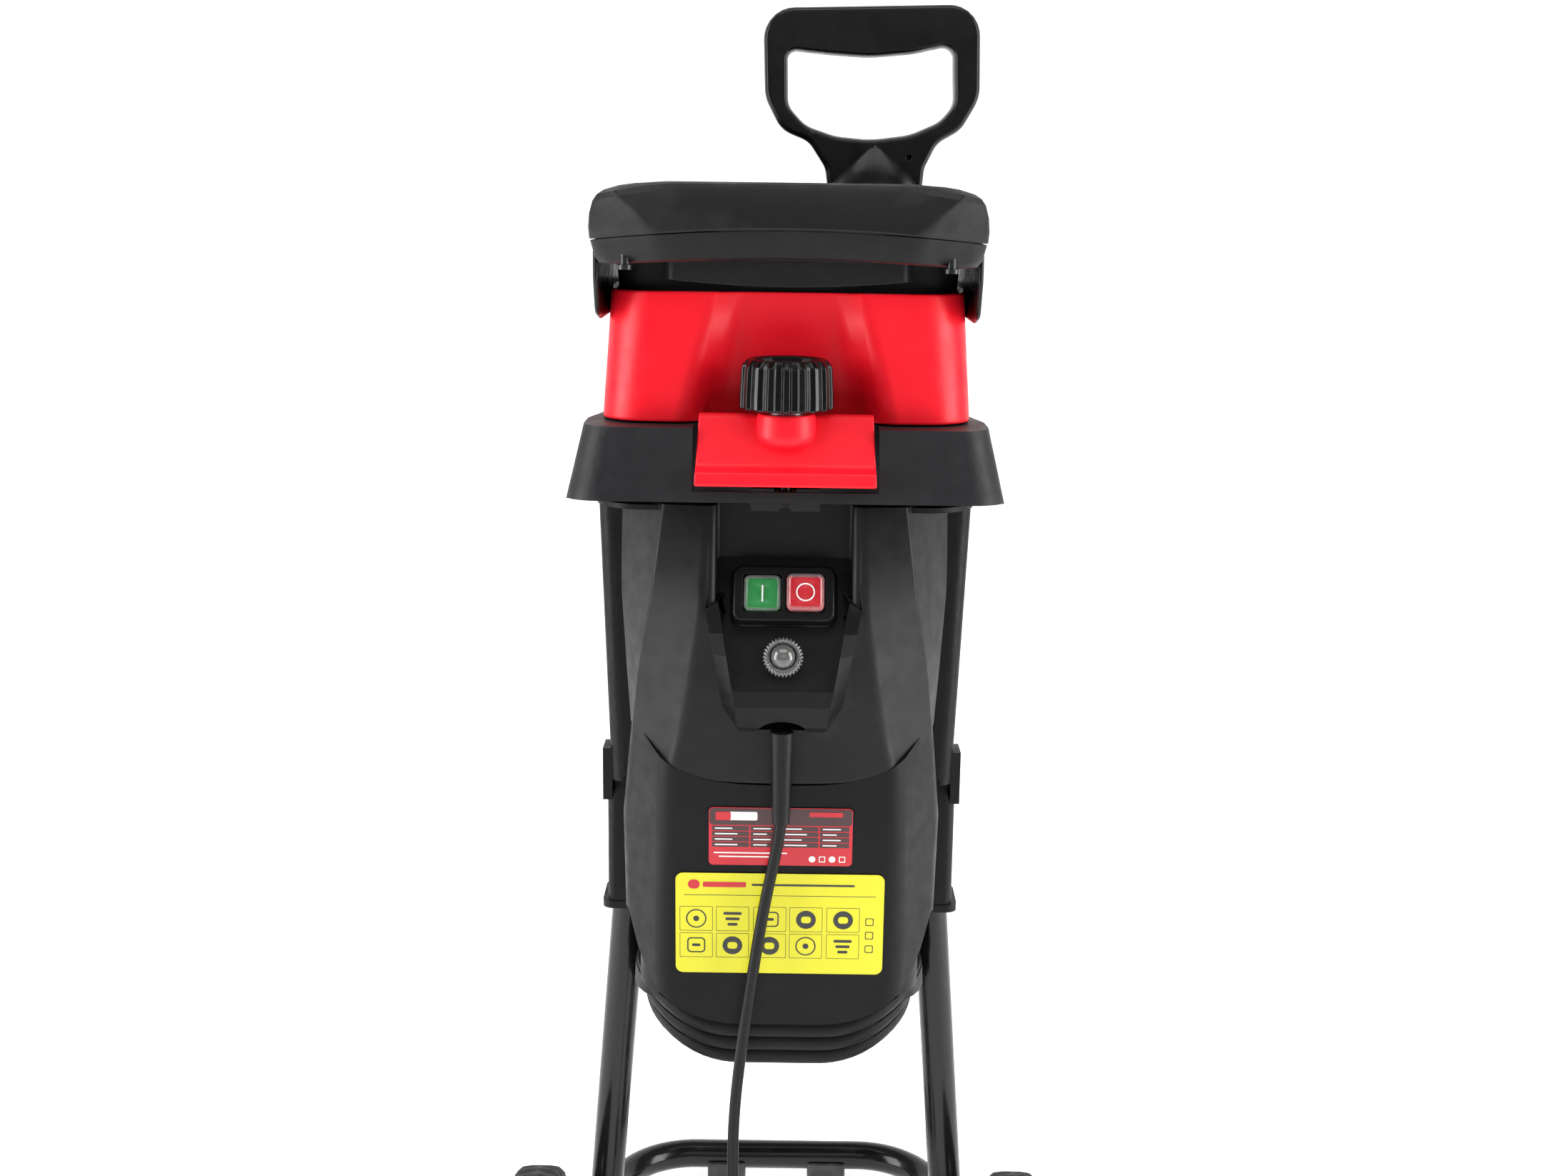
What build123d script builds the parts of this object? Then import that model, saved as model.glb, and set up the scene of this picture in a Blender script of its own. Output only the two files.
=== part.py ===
from build123d import *
import math
import os

os.makedirs("parts", exist_ok=True)

# Electric garden shredder, in millimetres.
# The floor is z = 0, the switch faces -Y, and the cutter turns about the Z axis.

# ---------------------------------------------------------------- driving dimensions
TUBE_R = 11.0               # frame tube, 22 mm outside
TUBE_WALL = 1.5
BASE_X = 123.5              # floor loop: half spacing of its side tubes
BASE_Z = 20.0               # floor loop: height of its centre line
BASE_FRONT = -90.0
BASE_REAR = 205.0
BASE_BEND = 60.0
LEG_Y = -8.0
LEG_TOP_X = 93.0
LEG_TOP_Z = 408.0
SOCKET_BOTTOM = 322.0
SOCKET_TOP = 412.0
LEG_BOLT_Z = 366.0

WHEEL_R = 75.0
WHEEL_WIDTH = 32.0
WHEEL_X = 157.0             # middle of each wheel
AXLE_R = 5.0
AXLE_Y = -75.0
AXLE_Z = 78.0
RUNNING = 0.06              # radial running clearance

WALL = 3.0                  # moulded housing wall
DECK_BOTTOM = 600.0         # chamber floor plate
DECK_TOP = 603.0
COLLAR_TOP = 651.0
REAR_TOP_HALF = 115.0       # rear housing half width at the deck
REAR_STEP_HALF = 108.0      # and at the step above the leg sockets
REAR_STEP_Z = 416.0
REAR_LOW_HALF = 80.0
HOUSING_BACK = -28.0        # rear edge of the two front covers
LOWER_COVER_BOTTOM = 280.0
COVER_CORNER_R = 72.0       # round lower corners of the front covers, seen from the front
COVER_STATIONS = (          # height, half width, shoulder y, half width of the nose, nose y
    (250.0, 93.0, -80.0, 70.0, -106.0),
    (330.0, 96.5, -86.0, 72.0, -112.0),
    (405.0, 98.0, -88.0, 71.0, -117.0),
    (462.0, 92.0, -86.0, 66.0, -121.0),
    (545.0, 99.0, -78.0, 52.0, -128.0),
    (600.0, 98.5, -70.0, 60.0, -114.0),
)

CAP_TIERS = 3               # stepped ribs round the bottom cap
CAP_FIRST_Z = 268.0
CAP_STEP_Z = 11.0

MOTOR_Y = -37.5             # armature axis; the cutter axis is at y = 0
MODULE = 1.5
PINION_TEETH = 10
GEAR_TEETH = 40
CHAMBER_R = 98.0            # inner wall of the cutting chamber
DISC_R = 90.0
DISC_BOTTOM = 618.0
DISC_THICK = 6.0
BLADE_THICK = 4.5

HINGE_Y = 120.0             # hopper hinge axis, along X
HINGE_Z = 662.0
HINGE_PIN_R = 3.0

RED_BOTTOM = 652.0
RED_TOP = 726.0
RIM_PARTING = 760.0
RIM_TOP = 787.0
RIM_BOTTOM = 742.0
RIM_HALF = 111.0
RIM_FRONT = -158.0
RIM_REAR = 92.0
THROAT_X = 47.0             # the feed throat and the plunger sit right of the middle
THROAT_Y = -30.0
THROAT_SIZE = 56.0
THROAT_BOTTOM = 634.0

KNOB_Y = -118.0
KNOB_R = 26.5
KNOB_BOTTOM = 661.0
KNOB_TOP = 690.0
SCREW_R = 4.0
NUT_BORE_R = 5.3            # clearance so the hopper can swing off the screw
LATCH_HALF = 50.0

HANDLE_HALF = 63.5
HANDLE_TOP = 891.0
HANDLE_BOTTOM = 786.0
PLUNGER_FOOT = 668.0

PANEL_TILT = 28.0           # the switch panel leans back from vertical
SWITCH_Y = -112.0
SWITCH_Z = 550.0
CONSOLE_BACK = -97.0
BREAKER_DROP = 37.0         # from the switch's middle down the panel
CORD_R = 3.5
CORD_Y = -128.0

pieces = {}


# ---------------------------------------------------------------- shared profiles
def plan_box(z, half, front, rear, r_front, r_rear):
    """Plan section of a housing: a box with its front and rear corners rounded."""
    with BuildSketch(Plane.XY.offset(z)) as plan:
        with BuildLine():
            Polyline((-half, front), (half, front), (half, rear), (-half, rear), close=True)
        make_face()
        fillet(plan.vertices().group_by(Axis.Y)[0], r_front)
        fillet(plan.vertices().group_by(Axis.Y)[-1], r_rear)
    return plan.sketch


def plan_shouldered(z, half, waist, front, rear, radius):
    """Plan section of the collar: broad front shoulders that draw in to a waist behind them."""
    with BuildSketch(Plane.XY.offset(z)) as plan:
        with BuildLine():
            Polyline((-half, front), (half, front), (half, front + 44), (waist, front + 72), (waist, rear),
                     (-waist, rear), (-waist, front + 72), (-half, front + 44), close=True)
        make_face()
        fillet(plan.vertices(), radius)
    return plan.sketch


def plan_faceted(z, half, shoulder, flat, front, rear, radius):
    """Plan section of the front covers: flat nose, a facet each side, straight flanks."""
    with BuildSketch(Plane.XY.offset(z)) as plan:
        with BuildLine():
            Polyline((-half, rear), (-half, shoulder), (-flat, front), (flat, front), (half, shoulder),
                     (half, rear), close=True)
        make_face()
        corners = plan.vertices().group_by(Axis.Y)
        fillet(corners[0] + corners[1], radius)
    return plan.sketch


def front_cover_sections(inset):
    """Stations of the front covers from the bottom up, all moved inwards by inset."""
    back = HOUSING_BACK + (1.0 if inset else 0.0)
    return [plan_faceted(z, half - inset, shoulder + inset, flat - inset / 2, front + inset, back,
                         10.0 - inset)
            for z, half, shoulder, flat, front in COVER_STATIONS]


def elevation_u(half, bottom, top, radius):
    """Front view of a housing with two big round lower corners."""
    with BuildSketch(Plane.XZ) as view:
        with BuildLine():
            Polyline((-half, bottom), (half, bottom), (half, top), (-half, top), close=True)
        make_face()
        fillet(view.vertices().group_by(Axis.Y)[0], radius)
    return view.sketch


def gear_outline(z, x, y, teeth, first_angle, bore_r):
    """Spur gear section with straight-sided teeth of the common module."""
    root_r = MODULE * teeth / 2 - 1.25 * MODULE
    tip_r = MODULE * teeth / 2 + 0.9 * MODULE
    tooth_height = tip_r - root_r + 1
    with BuildSketch(Plane.XY.offset(z)) as gear:
        with Locations((x, y)):
            Circle(root_r)
            with PolarLocations(tip_r - tooth_height / 2, teeth, start_angle=first_angle):
                Trapezoid(2.9, tooth_height, 77.3, rotation=-90)
            if bore_r:
                Circle(bore_r, mode=Mode.SUBTRACT)
    return gear.sketch


def on_panel(along, depth):
    """Side-view point on the switch panel: along is up the panel, depth is into it."""
    tilt = math.radians(PANEL_TILT)
    return (SWITCH_Y + along * math.sin(tilt) + depth * math.cos(tilt),
            SWITCH_Z + along * math.cos(tilt) - depth * math.sin(tilt))


panel = Plane(origin=(0, SWITCH_Y, SWITCH_Z), x_dir=(1, 0, 0),
              z_dir=(0, -math.cos(math.radians(PANEL_TILT)), math.sin(math.radians(PANEL_TILT))))

# ---------------------------------------------------------------- floor frame
with BuildPart() as axle_brackets:
    for side in (-1, 1):
        with BuildSketch(Plane.YZ.offset(side * BASE_X - 2)):
            with Locations((AXLE_Y, (BASE_Z + AXLE_Z) / 2)):
                Rectangle(28, AXLE_Z - BASE_Z)
            with Locations((AXLE_Y, AXLE_Z)):
                Circle(14)
                Circle(AXLE_R, mode=Mode.SUBTRACT)
        extrude(amount=4)
        with Locations(Location((side * BASE_X, AXLE_Y, BASE_Z), (90, 0, 0))):
            Cylinder(TUBE_R, 60, mode=Mode.SUBTRACT)

with BuildPart() as base_loop:
    with BuildLine(Plane.XY.offset(BASE_Z)):
        FilletPolyline((-BASE_X, BASE_FRONT), (-BASE_X, BASE_REAR), (BASE_X, BASE_REAR),
                       (BASE_X, BASE_FRONT),
                       radius=BASE_BEND)
    with BuildSketch(Plane(origin=(-BASE_X, BASE_FRONT, BASE_Z), z_dir=(0, 1, 0))):
        Circle(TUBE_R)
        Circle(TUBE_R - TUBE_WALL, mode=Mode.SUBTRACT)
    sweep()
    add(axle_brackets.part)
pieces["base_loop"] = base_loop.part

LEG_LENGTH = math.hypot(BASE_X - LEG_TOP_X, LEG_TOP_Z - BASE_Z)
LEG_BOLT_X = LEG_TOP_X + (LEG_TOP_Z - LEG_BOLT_Z) * (BASE_X - LEG_TOP_X) / (LEG_TOP_Z - BASE_Z)


def leg_plane(side):
    """Plane at the foot of a leg, looking up along it."""
    return Plane(origin=(side * BASE_X, LEG_Y, BASE_Z), x_dir=(0, 1, 0),
                 z_dir=(side * (LEG_TOP_X - BASE_X), 0, LEG_TOP_Z - BASE_Z))


for side, side_name in ((-1, "left"), (1, "right")):
    with BuildPart() as leg:
        with BuildSketch(leg_plane(side)):
            Circle(TUBE_R)
            Circle(TUBE_R - TUBE_WALL, mode=Mode.SUBTRACT)
        extrude(amount=LEG_LENGTH)
        with Locations(Location((side * BASE_X, LEG_Y, BASE_Z), (90, 0, 0))):
            Cylinder(TUBE_R, 60, mode=Mode.SUBTRACT)
        with Locations(Location((side * LEG_BOLT_X, LEG_Y, LEG_BOLT_Z), (90, 0, 0))):
            Cylinder(3, 40, mode=Mode.SUBTRACT)
    pieces["leg_" + side_name] = leg.part

with BuildPart() as leg_sockets:
    for side in (-1, 1):
        with BuildSketch(Plane.XY.offset(SOCKET_BOTTOM)):
            with Locations((side * 96.5, LEG_Y)):
                RectangleRounded(32, 38, 6)
        extrude(amount=SOCKET_TOP - SOCKET_BOTTOM)
        with BuildSketch(Plane.XY.offset(SOCKET_BOTTOM)):
            with Locations((side * 98, LEG_Y)):
                RectangleRounded(36, 39.4, 7)
        extrude(amount=5)
        with BuildSketch(leg_plane(side)):
            Circle(TUBE_R)
        extrude(amount=LEG_LENGTH, mode=Mode.SUBTRACT)
        with Locations(Location((side * LEG_BOLT_X, LEG_Y, LEG_BOLT_Z), (90, 0, 0))):
            Cylinder(3, 60, mode=Mode.SUBTRACT)
pieces["leg_sockets"] = leg_sockets.part

with BuildPart() as axle:
    with Locations(Location((0, AXLE_Y, AXLE_Z), (0, 90, 0))):
        Cylinder(AXLE_R, 2 * (WHEEL_X + WHEEL_WIDTH / 2 + 8))
    chamfer(axle.edges().group_by(Axis.X)[0] + axle.edges().group_by(Axis.X)[-1], 1)
pieces["axle"] = axle.part

with BuildPart() as axle_fittings:
    for x in (-WHEEL_X - 19.5, -WHEEL_X + 19.5, WHEEL_X - 19.5, WHEEL_X + 19.5):
        with BuildSketch(Plane.YZ.offset(x - 1)):
            with Locations((AXLE_Y, AXLE_Z)):
                Circle(11)
                Circle(AXLE_R, mode=Mode.SUBTRACT)
        extrude(amount=2)
    for side in (-1, 1):
        cap_plane = Plane(origin=(side * (WHEEL_X + 20.5), AXLE_Y, AXLE_Z), z_dir=(side, 0, 0))
        with BuildSketch(cap_plane):
            Circle(10)
        extrude(amount=7)
        with BuildSketch(cap_plane):
            Circle(AXLE_R)
        extrude(amount=4, mode=Mode.SUBTRACT)
    fillet(axle_fittings.faces().filter_by(Axis.X).sort_by(Axis.X)[0].edges(), 2)
    fillet(axle_fittings.faces().filter_by(Axis.X).sort_by(Axis.X)[-1].edges(), 2)
pieces["axle_fittings"] = axle_fittings.part


for side, side_name in ((-1, "left"), (1, "right")):
    wheel_plane = Plane(origin=(side * WHEEL_X, AXLE_Y, AXLE_Z), x_dir=(0, 1, 0), z_dir=(side, 0, 0))
    with BuildPart() as hub:
        with BuildSketch(wheel_plane.offset(-18)):
            Circle(12)
            Circle(AXLE_R + RUNNING, mode=Mode.SUBTRACT)
        extrude(amount=36)
        with BuildSketch(wheel_plane.offset(-13)):
            Circle(60)
            Circle(54, mode=Mode.SUBTRACT)
        extrude(amount=26)
        with BuildSketch(wheel_plane.offset(-3)):
            Circle(55)
            Circle(11, mode=Mode.SUBTRACT)
            with PolarLocations(34, 6):
                SlotOverall(30, 15, mode=Mode.SUBTRACT)
        extrude(amount=6)
        with BuildSketch(wheel_plane.offset(-9)):
            with PolarLocations(33, 6, start_angle=30):
                Rectangle(44.5, 5)
        extrude(amount=18)
    pieces["wheel_hub_" + side_name] = hub.part

    with BuildPart() as tyre:
        with BuildSketch(wheel_plane.offset(-WHEEL_WIDTH / 2)):
            Circle(WHEEL_R)
            Circle(60, mode=Mode.SUBTRACT)
        extrude(amount=WHEEL_WIDTH)
        fillet(tyre.edges().filter_by(GeomType.CIRCLE).group_by(SortBy.RADIUS)[-1], 6)
    pieces["tyre_" + side_name] = tyre.part

with BuildPart() as rubber_feet:
    for x in (-BASE_X, BASE_X):
        for y in (-42.0, 110.0):
            with Locations((x, y, 9.0)):
                Box(28, 30, 18)
        with Locations(Location((x, 0, BASE_Z), (90, 0, 0))):
            Cylinder(TUBE_R, 400, mode=Mode.SUBTRACT)
    for x in (-40.0, 40.0):
        with Locations((x, BASE_REAR, 9.0)):
            Box(30, 28, 18)
    with Locations(Location((0, BASE_REAR, BASE_Z), (0, 90, 0))):
        Cylinder(TUBE_R, 200, mode=Mode.SUBTRACT)
    fillet(rubber_feet.edges().filter_by(Axis.Z), 4)
    for side in (-1, 1):
        with BuildSketch(Plane(origin=(side * BASE_X, BASE_FRONT, BASE_Z), z_dir=(0, -1, 0))):
            Circle(TUBE_R)
        extrude(amount=4)
    fillet(rubber_feet.faces().filter_by(Axis.Y).sort_by(Axis.Y)[:2].edges(), 2.5)
pieces["rubber_feet"] = rubber_feet.part

# ---------------------------------------------------------------- lower housings
CHUTE_HALF = 65.0
chute_outer = ((52.0, DECK_BOTTOM), (98.0, DECK_BOTTOM), (98.0, 566.0), (158.0, 478.0),
               (112.0, 408.0), (52.0, 500.0))
chute_inner = ((55.0, DECK_BOTTOM + 5), (95.0, DECK_BOTTOM + 5), (95.0, 565.1), (162.0, 467.0),
               (116.0, 396.0),
               (55.0, 501.0))

with BuildPart() as rear_void:
    loft(sections=[
        plan_box(REAR_STEP_Z + WALL, REAR_STEP_HALF - WALL, -50 + WALL, 92 - WALL, 2, 30),
        plan_box(DECK_BOTTOM + 2, REAR_TOP_HALF - WALL, -50 + WALL, 108 - WALL, 2, 34),
    ])
    with BuildSketch(Plane.XZ.offset(-HOUSING_BACK)):
        with BuildLine():
            seam = [(half + 0.3, z) for z, half, *others in COVER_STATIONS if z > 400]
            Polyline(*seam, (98.8, DECK_BOTTOM + 1), (-98.8, DECK_BOTTOM + 1),
                     *[(-x, z) for x, z in reversed(seam)],
                     close=True)
        make_face()
    extrude(amount=40)
    loft(sections=[
        plan_box(240, REAR_LOW_HALF - 4 - WALL, -60, 62, 0.5, 24),
        plan_box(REAR_STEP_Z + 5, REAR_LOW_HALF - WALL, -60, 70 - WALL, 0.5, 24),
    ])

with BuildPart() as rear_housing:
    loft(sections=[
        plan_box(REAR_STEP_Z, REAR_STEP_HALF, -50, 92, 9, 33),
        plan_box(DECK_BOTTOM, REAR_TOP_HALF, -50, 108, 9, 37),
    ])
    loft(sections=[
        plan_box(262, REAR_LOW_HALF - 4, HOUSING_BACK, 65, 0.5, 27),
        plan_box(REAR_STEP_Z, REAR_LOW_HALF, HOUSING_BACK, 70, 0.5, 27),
    ])
    add(rear_void.part, mode=Mode.SUBTRACT)
    with BuildSketch(Plane.XY.offset(REAR_STEP_Z)):
        with Locations((0, HOUSING_BACK)):
            Rectangle(200, 30, align=(Align.CENTER, Align.MAX))
    extrude(amount=WALL + 0.1, mode=Mode.SUBTRACT)
    with BuildSketch(Plane.YZ):
        with BuildLine():
            Polyline(*chute_outer, close=True)
        make_face()
    extrude(amount=CHUTE_HALF, both=True, mode=Mode.SUBTRACT)
    for row in range(9):
        for side in (-1, 1):
            with Locations((side * 110, 20, 440 + 12 * row)):
                Box(20, 60 - 3 * row, 4, mode=Mode.SUBTRACT)
pieces["rear_housing"] = rear_housing.part

with BuildPart() as cover_blank:
    loft(sections=front_cover_sections(0), ruled=True)
    extrude(elevation_u(100, LOWER_COVER_BOTTOM, DECK_BOTTOM, COVER_CORNER_R), amount=160, both=True,
            mode=Mode.INTERSECT)

with BuildPart() as cover_void:
    loft(sections=front_cover_sections(WALL), ruled=True)
    extrude(elevation_u(100 - WALL, LOWER_COVER_BOTTOM + WALL, DECK_BOTTOM + 5,
                        COVER_CORNER_R - WALL), amount=160,
            both=True, mode=Mode.INTERSECT)

with BuildPart() as below_parting:
    with BuildSketch(Plane.XZ):
        with BuildLine():
            Polyline((-110, 472), (-91, 466), (-70, 449), (-42, 441), (-15, 438), (15, 438),
                     (42, 441), (70, 449),
                     (91, 466), (110, 472), (110, 240), (-110, 240), close=True)
        make_face()
    extrude(amount=160, both=True)

with BuildPart() as console_outline:
    with BuildSketch(Plane.XZ.offset(-CONSOLE_BACK)):
        with BuildLine():
            Polyline((-42, 585), (-43, 556), (-45, 548), (-41, 500), (-28, 468), (28, 468),
                     (41, 500), (45, 548),
                     (43, 556), (42, 585), close=True)
        make_face()
    extrude(amount=80)

with BuildPart() as recess_walls:
    with Locations((0, CONSOLE_BACK + WALL, DECK_BOTTOM)):
        Box(84 + 2 * WALL, 60, 70, align=(Align.CENTER, Align.MAX, Align.MAX))
    add(cover_blank.part, mode=Mode.INTERSECT)

with BuildPart() as front_cover:
    add(cover_blank.part)
    add(cover_void.part, mode=Mode.SUBTRACT)
    add(recess_walls.part)
    add(below_parting.part, mode=Mode.SUBTRACT)
    with Locations((0, CONSOLE_BACK, DECK_BOTTOM + 1)):
        Box(84, 60, 70, align=(Align.CENTER, Align.MAX, Align.MAX), mode=Mode.SUBTRACT)
    add(console_outline.part, mode=Mode.SUBTRACT)
    with BuildSketch(panel):
        Rectangle(56, 32)
        with Locations((0, -BREAKER_DROP)):
            Circle(10)
    extrude(amount=-34, mode=Mode.SUBTRACT)
    with Locations((0, CORD_Y, 460)):
        Cylinder(7.5, 60, mode=Mode.SUBTRACT)
pieces["front_cover"] = front_cover.part

with BuildPart() as lower_cover:
    add(cover_blank.part)
    add(cover_void.part, mode=Mode.SUBTRACT)
    add(below_parting.part, mode=Mode.INTERSECT)
pieces["lower_cover"] = lower_cover.part

with BuildPart() as cap_outer:
    for tier in range(CAP_TIERS):
        floor_z = CAP_FIRST_Z - CAP_STEP_Z * tier
        half = 91.0 - 3.0 * tier
        extrude(plan_box(floor_z, half, -103 + 5 * tier, 66 - 5 * tier, 60, 30), amount=300 - floor_z)
    extrude(elevation_u(91, CAP_FIRST_Z - CAP_STEP_Z * (CAP_TIERS - 1), 300, 34), amount=160, both=True,
            mode=Mode.INTERSECT)

with BuildPart() as bottom_cap:
    add(cap_outer.part)
    add(cover_blank.part, mode=Mode.SUBTRACT)
    with Locations((0, HOUSING_BACK, 262)):
        Box(300, 200, 100, align=(Align.CENTER, Align.MIN, Align.MIN), mode=Mode.SUBTRACT)
    with Locations((0, -18, 250)):
        Box(130, 130, 40, align=(Align.CENTER, Align.CENTER, Align.MIN), mode=Mode.SUBTRACT)
pieces["bottom_cap"] = bottom_cap.part

with BuildPart() as chute:
    with BuildSketch(Plane.YZ):
        with BuildLine():
            Polyline(*chute_outer, close=True)
        make_face()
    extrude(amount=CHUTE_HALF, both=True)
    with BuildSketch(Plane.YZ):
        with BuildLine():
            Polyline(*chute_inner, close=True)
        make_face()
    extrude(amount=CHUTE_HALF - WALL, both=True, mode=Mode.SUBTRACT)
pieces["discharge_chute"] = chute.part

with BuildPart() as bag_hooks:
    for side in (-1, 1):
        with BuildSketch(Plane.YZ.offset(side * 110.5 - 3)):
            with BuildLine():
                Polyline((-44, 436), (-24, 436), (-24, 426), (-34, 424), (-34, 410), (-28, 410), (-28, 402),
                         (-44, 402), close=True)
            make_face()
        extrude(amount=6)
    add(rear_housing.part, mode=Mode.SUBTRACT)
pieces["bag_hooks"] = bag_hooks.part


# ---------------------------------------------------------------- cutting chamber
with BuildPart() as collar_void:
    loft(sections=[
        plan_shouldered(DECK_TOP - 5, 125.7, 117.7, -138.3, 130, 20),
        plan_shouldered(COLLAR_TOP - WALL, 114.2, 108.2, -125.8, 121.5, 17),
    ])

with BuildPart() as collar:
    loft(sections=[
        plan_shouldered(DECK_TOP, 127.5, 119.5, -140, 132, 22),
        plan_shouldered(COLLAR_TOP, 116.5, 110.5, -128, 124, 19),
    ])
    add(collar_void.part, mode=Mode.SUBTRACT)
    with BuildSketch(Plane.YZ):
        with BuildLine():
            Polyline((-150, 610.5), (-126, 609.5), (-96, 604.5), (-60, DECK_TOP), (-60, 590),
                     (-150, 590), close=True)
        make_face()
    extrude(amount=140, both=True, mode=Mode.SUBTRACT)
    with BuildSketch(Plane.XY.offset(DECK_TOP)):
        Circle(CHAMBER_R + WALL)
        with Locations((0, -111)):
            Rectangle(40, 24)
    extrude(amount=COLLAR_TOP - DECK_TOP)
    with BuildSketch(Plane.XY.offset(DECK_TOP - 1)):
        Circle(CHAMBER_R)
    extrude(amount=60, mode=Mode.SUBTRACT)
    with Locations((0, -101.5, 616)):
        Box(LATCH_HALF * 2 + 6, 60, 60, align=(Align.CENTER, Align.MAX, Align.MIN), mode=Mode.SUBTRACT)
    with Locations((0, KNOB_Y, 608)):
        Cylinder(8, 20, align=(Align.CENTER, Align.CENTER, Align.MIN), mode=Mode.SUBTRACT)
        Cylinder(6, 20, mode=Mode.SUBTRACT)
    for x in (-52, 52):
        with BuildSketch(Plane.YZ.offset(x - 6)):
            with Locations((HINGE_Y, (COLLAR_TOP + HINGE_Z) / 2 - 1)):
                Rectangle(14, HINGE_Z - COLLAR_TOP + 2)
            with Locations((HINGE_Y, HINGE_Z)):
                Circle(7.5)
                Circle(HINGE_PIN_R, mode=Mode.SUBTRACT)
        extrude(amount=12)
    with Locations((-88, 96, COLLAR_TOP - 2)):
        Cylinder(3.1, 12, mode=Mode.SUBTRACT)
pieces["collar"] = collar.part

with BuildPart() as lock_nut:
    with BuildSketch(Plane.XY.offset(608)):
        with Locations((0, KNOB_Y)):
            Circle(8)
            Circle(NUT_BORE_R, mode=Mode.SUBTRACT)
    extrude(amount=6)
pieces["lock_nut"] = lock_nut.part

with BuildPart() as chamber_floor:
    extrude(plan_box(DECK_BOTTOM, 112, -106, 104, 30, 34), amount=DECK_TOP - DECK_BOTTOM)
    with Locations((0, 75, DECK_BOTTOM)):
        Box(120, 40, 20, mode=Mode.SUBTRACT)
    with Locations((0, 0, DECK_BOTTOM)):
        Cylinder(17.5, 20, mode=Mode.SUBTRACT)
    with BuildSketch(Plane.XY.offset(DECK_BOTTOM)):
        with Locations((0, -110)):
            Rectangle(92, 30)
    extrude(amount=5, mode=Mode.SUBTRACT)
pieces["chamber_floor"] = chamber_floor.part

with BuildPart() as hinge_pin:
    with Locations(Location((0, HINGE_Y, HINGE_Z), (0, 90, 0))):
        Cylinder(HINGE_PIN_R, 120)
    for x, height in ((-60, -2), (60, 2)):
        with BuildSketch(Plane.YZ.offset(x)):
            with Locations((HINGE_Y, HINGE_Z)):
                Circle(5)
        extrude(amount=height)
pieces["hinge_pin"] = hinge_pin.part

# ---------------------------------------------------------------- cutter and gears
with BuildPart() as spindle:
    with Locations((0, 0, 560)):
        Cylinder(7.5, 46, align=(Align.CENTER, Align.CENTER, Align.MIN))
    with Locations((0, 0, 606)):
        Cylinder(18, DISC_BOTTOM - 606, align=(Align.CENTER, Align.CENTER, Align.MIN))
    with Locations((0, 0, DISC_BOTTOM)):
        Cylinder(6, 18, align=(Align.CENTER, Align.CENTER, Align.MIN))
    with BuildSketch(Plane.XY.offset(DISC_BOTTOM)):
        Rectangle(20, 8)
    extrude(amount=DISC_THICK)
pieces["spindle"] = spindle.part

with BuildPart() as cutter_disc:
    with Locations((0, 0, DISC_BOTTOM)):
        Cylinder(DISC_R, DISC_THICK, align=(Align.CENTER, Align.CENTER, Align.MIN))
    for side in (-1, 1):
        with Locations((side * 55, side * 18, DISC_BOTTOM)):
            Box(58, 10, 30, mode=Mode.SUBTRACT)
    add(spindle.part, mode=Mode.SUBTRACT)
    with Locations((0, 0, DISC_BOTTOM)):
        with PolarLocations(78, 4, start_angle=60):
            Cylinder(4, 30, mode=Mode.SUBTRACT)
    for side in (-1, 1):
        with Locations((side * 38, 0, DISC_BOTTOM), (side * 72, 0, DISC_BOTTOM)):
            Cylinder(3, 30, mode=Mode.SUBTRACT)
pieces["cutter_disc"] = cutter_disc.part

with BuildPart() as blades:
    for side in (-1, 1):
        with BuildSketch(Plane.YZ.offset(side * 55 - 31)):
            with BuildLine():
                Polyline((side * -12, 624), (side * 12, 624), (side * 17, 624 + BLADE_THICK),
                         (side * -12, 624 + BLADE_THICK), close=True)
            make_face()
        extrude(amount=62)
    for side in (-1, 1):
        with Locations((side * 38, 0, DISC_BOTTOM), (side * 72, 0, DISC_BOTTOM)):
            Cylinder(3, 30, mode=Mode.SUBTRACT)
pieces["blades"] = blades.part

with BuildPart() as disc_fasteners:
    for side in (-1, 1):
        with Locations((side * 38, 0, 615), (side * 72, 0, 615)):
            Cylinder(3, 15.5, align=(Align.CENTER, Align.CENTER, Align.MIN))
    for side in (-1, 1):
        with Locations((side * 38, 0, 624 + BLADE_THICK), (side * 72, 0, 624 + BLADE_THICK)):
            Cylinder(5, 2, align=(Align.CENTER, Align.CENTER, Align.MIN))
    with BuildSketch(Plane.XY.offset(DISC_BOTTOM + DISC_THICK)):
        RegularPolygon(10, 6)
        Circle(6, mode=Mode.SUBTRACT)
    extrude(amount=8)
pieces["disc_fasteners"] = disc_fasteners.part

with BuildPart() as gear_wheel:
    extrude(gear_outline(572, 0, 0, GEAR_TEETH, 0, 7.5), amount=14)
pieces["gear_wheel"] = gear_wheel.part

with BuildPart() as gear_case:
    with Locations((0, -9, 560)):
        Box(84, 106, 40, align=(Align.CENTER, Align.CENTER, Align.MIN))
    fillet(gear_case.edges().filter_by(Axis.Z), 10)
    with Locations((0, -9, 566)):
        Box(76, 98, 26, align=(Align.CENTER, Align.CENTER, Align.MIN), mode=Mode.SUBTRACT)
    with Locations((0, 0, 580)):
        Cylinder(17.5, 60, mode=Mode.SUBTRACT)
    with Locations((0, MOTOR_Y, 563)):
        Cylinder(13, 10, mode=Mode.SUBTRACT)
pieces["gear_case"] = gear_case.part

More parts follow.
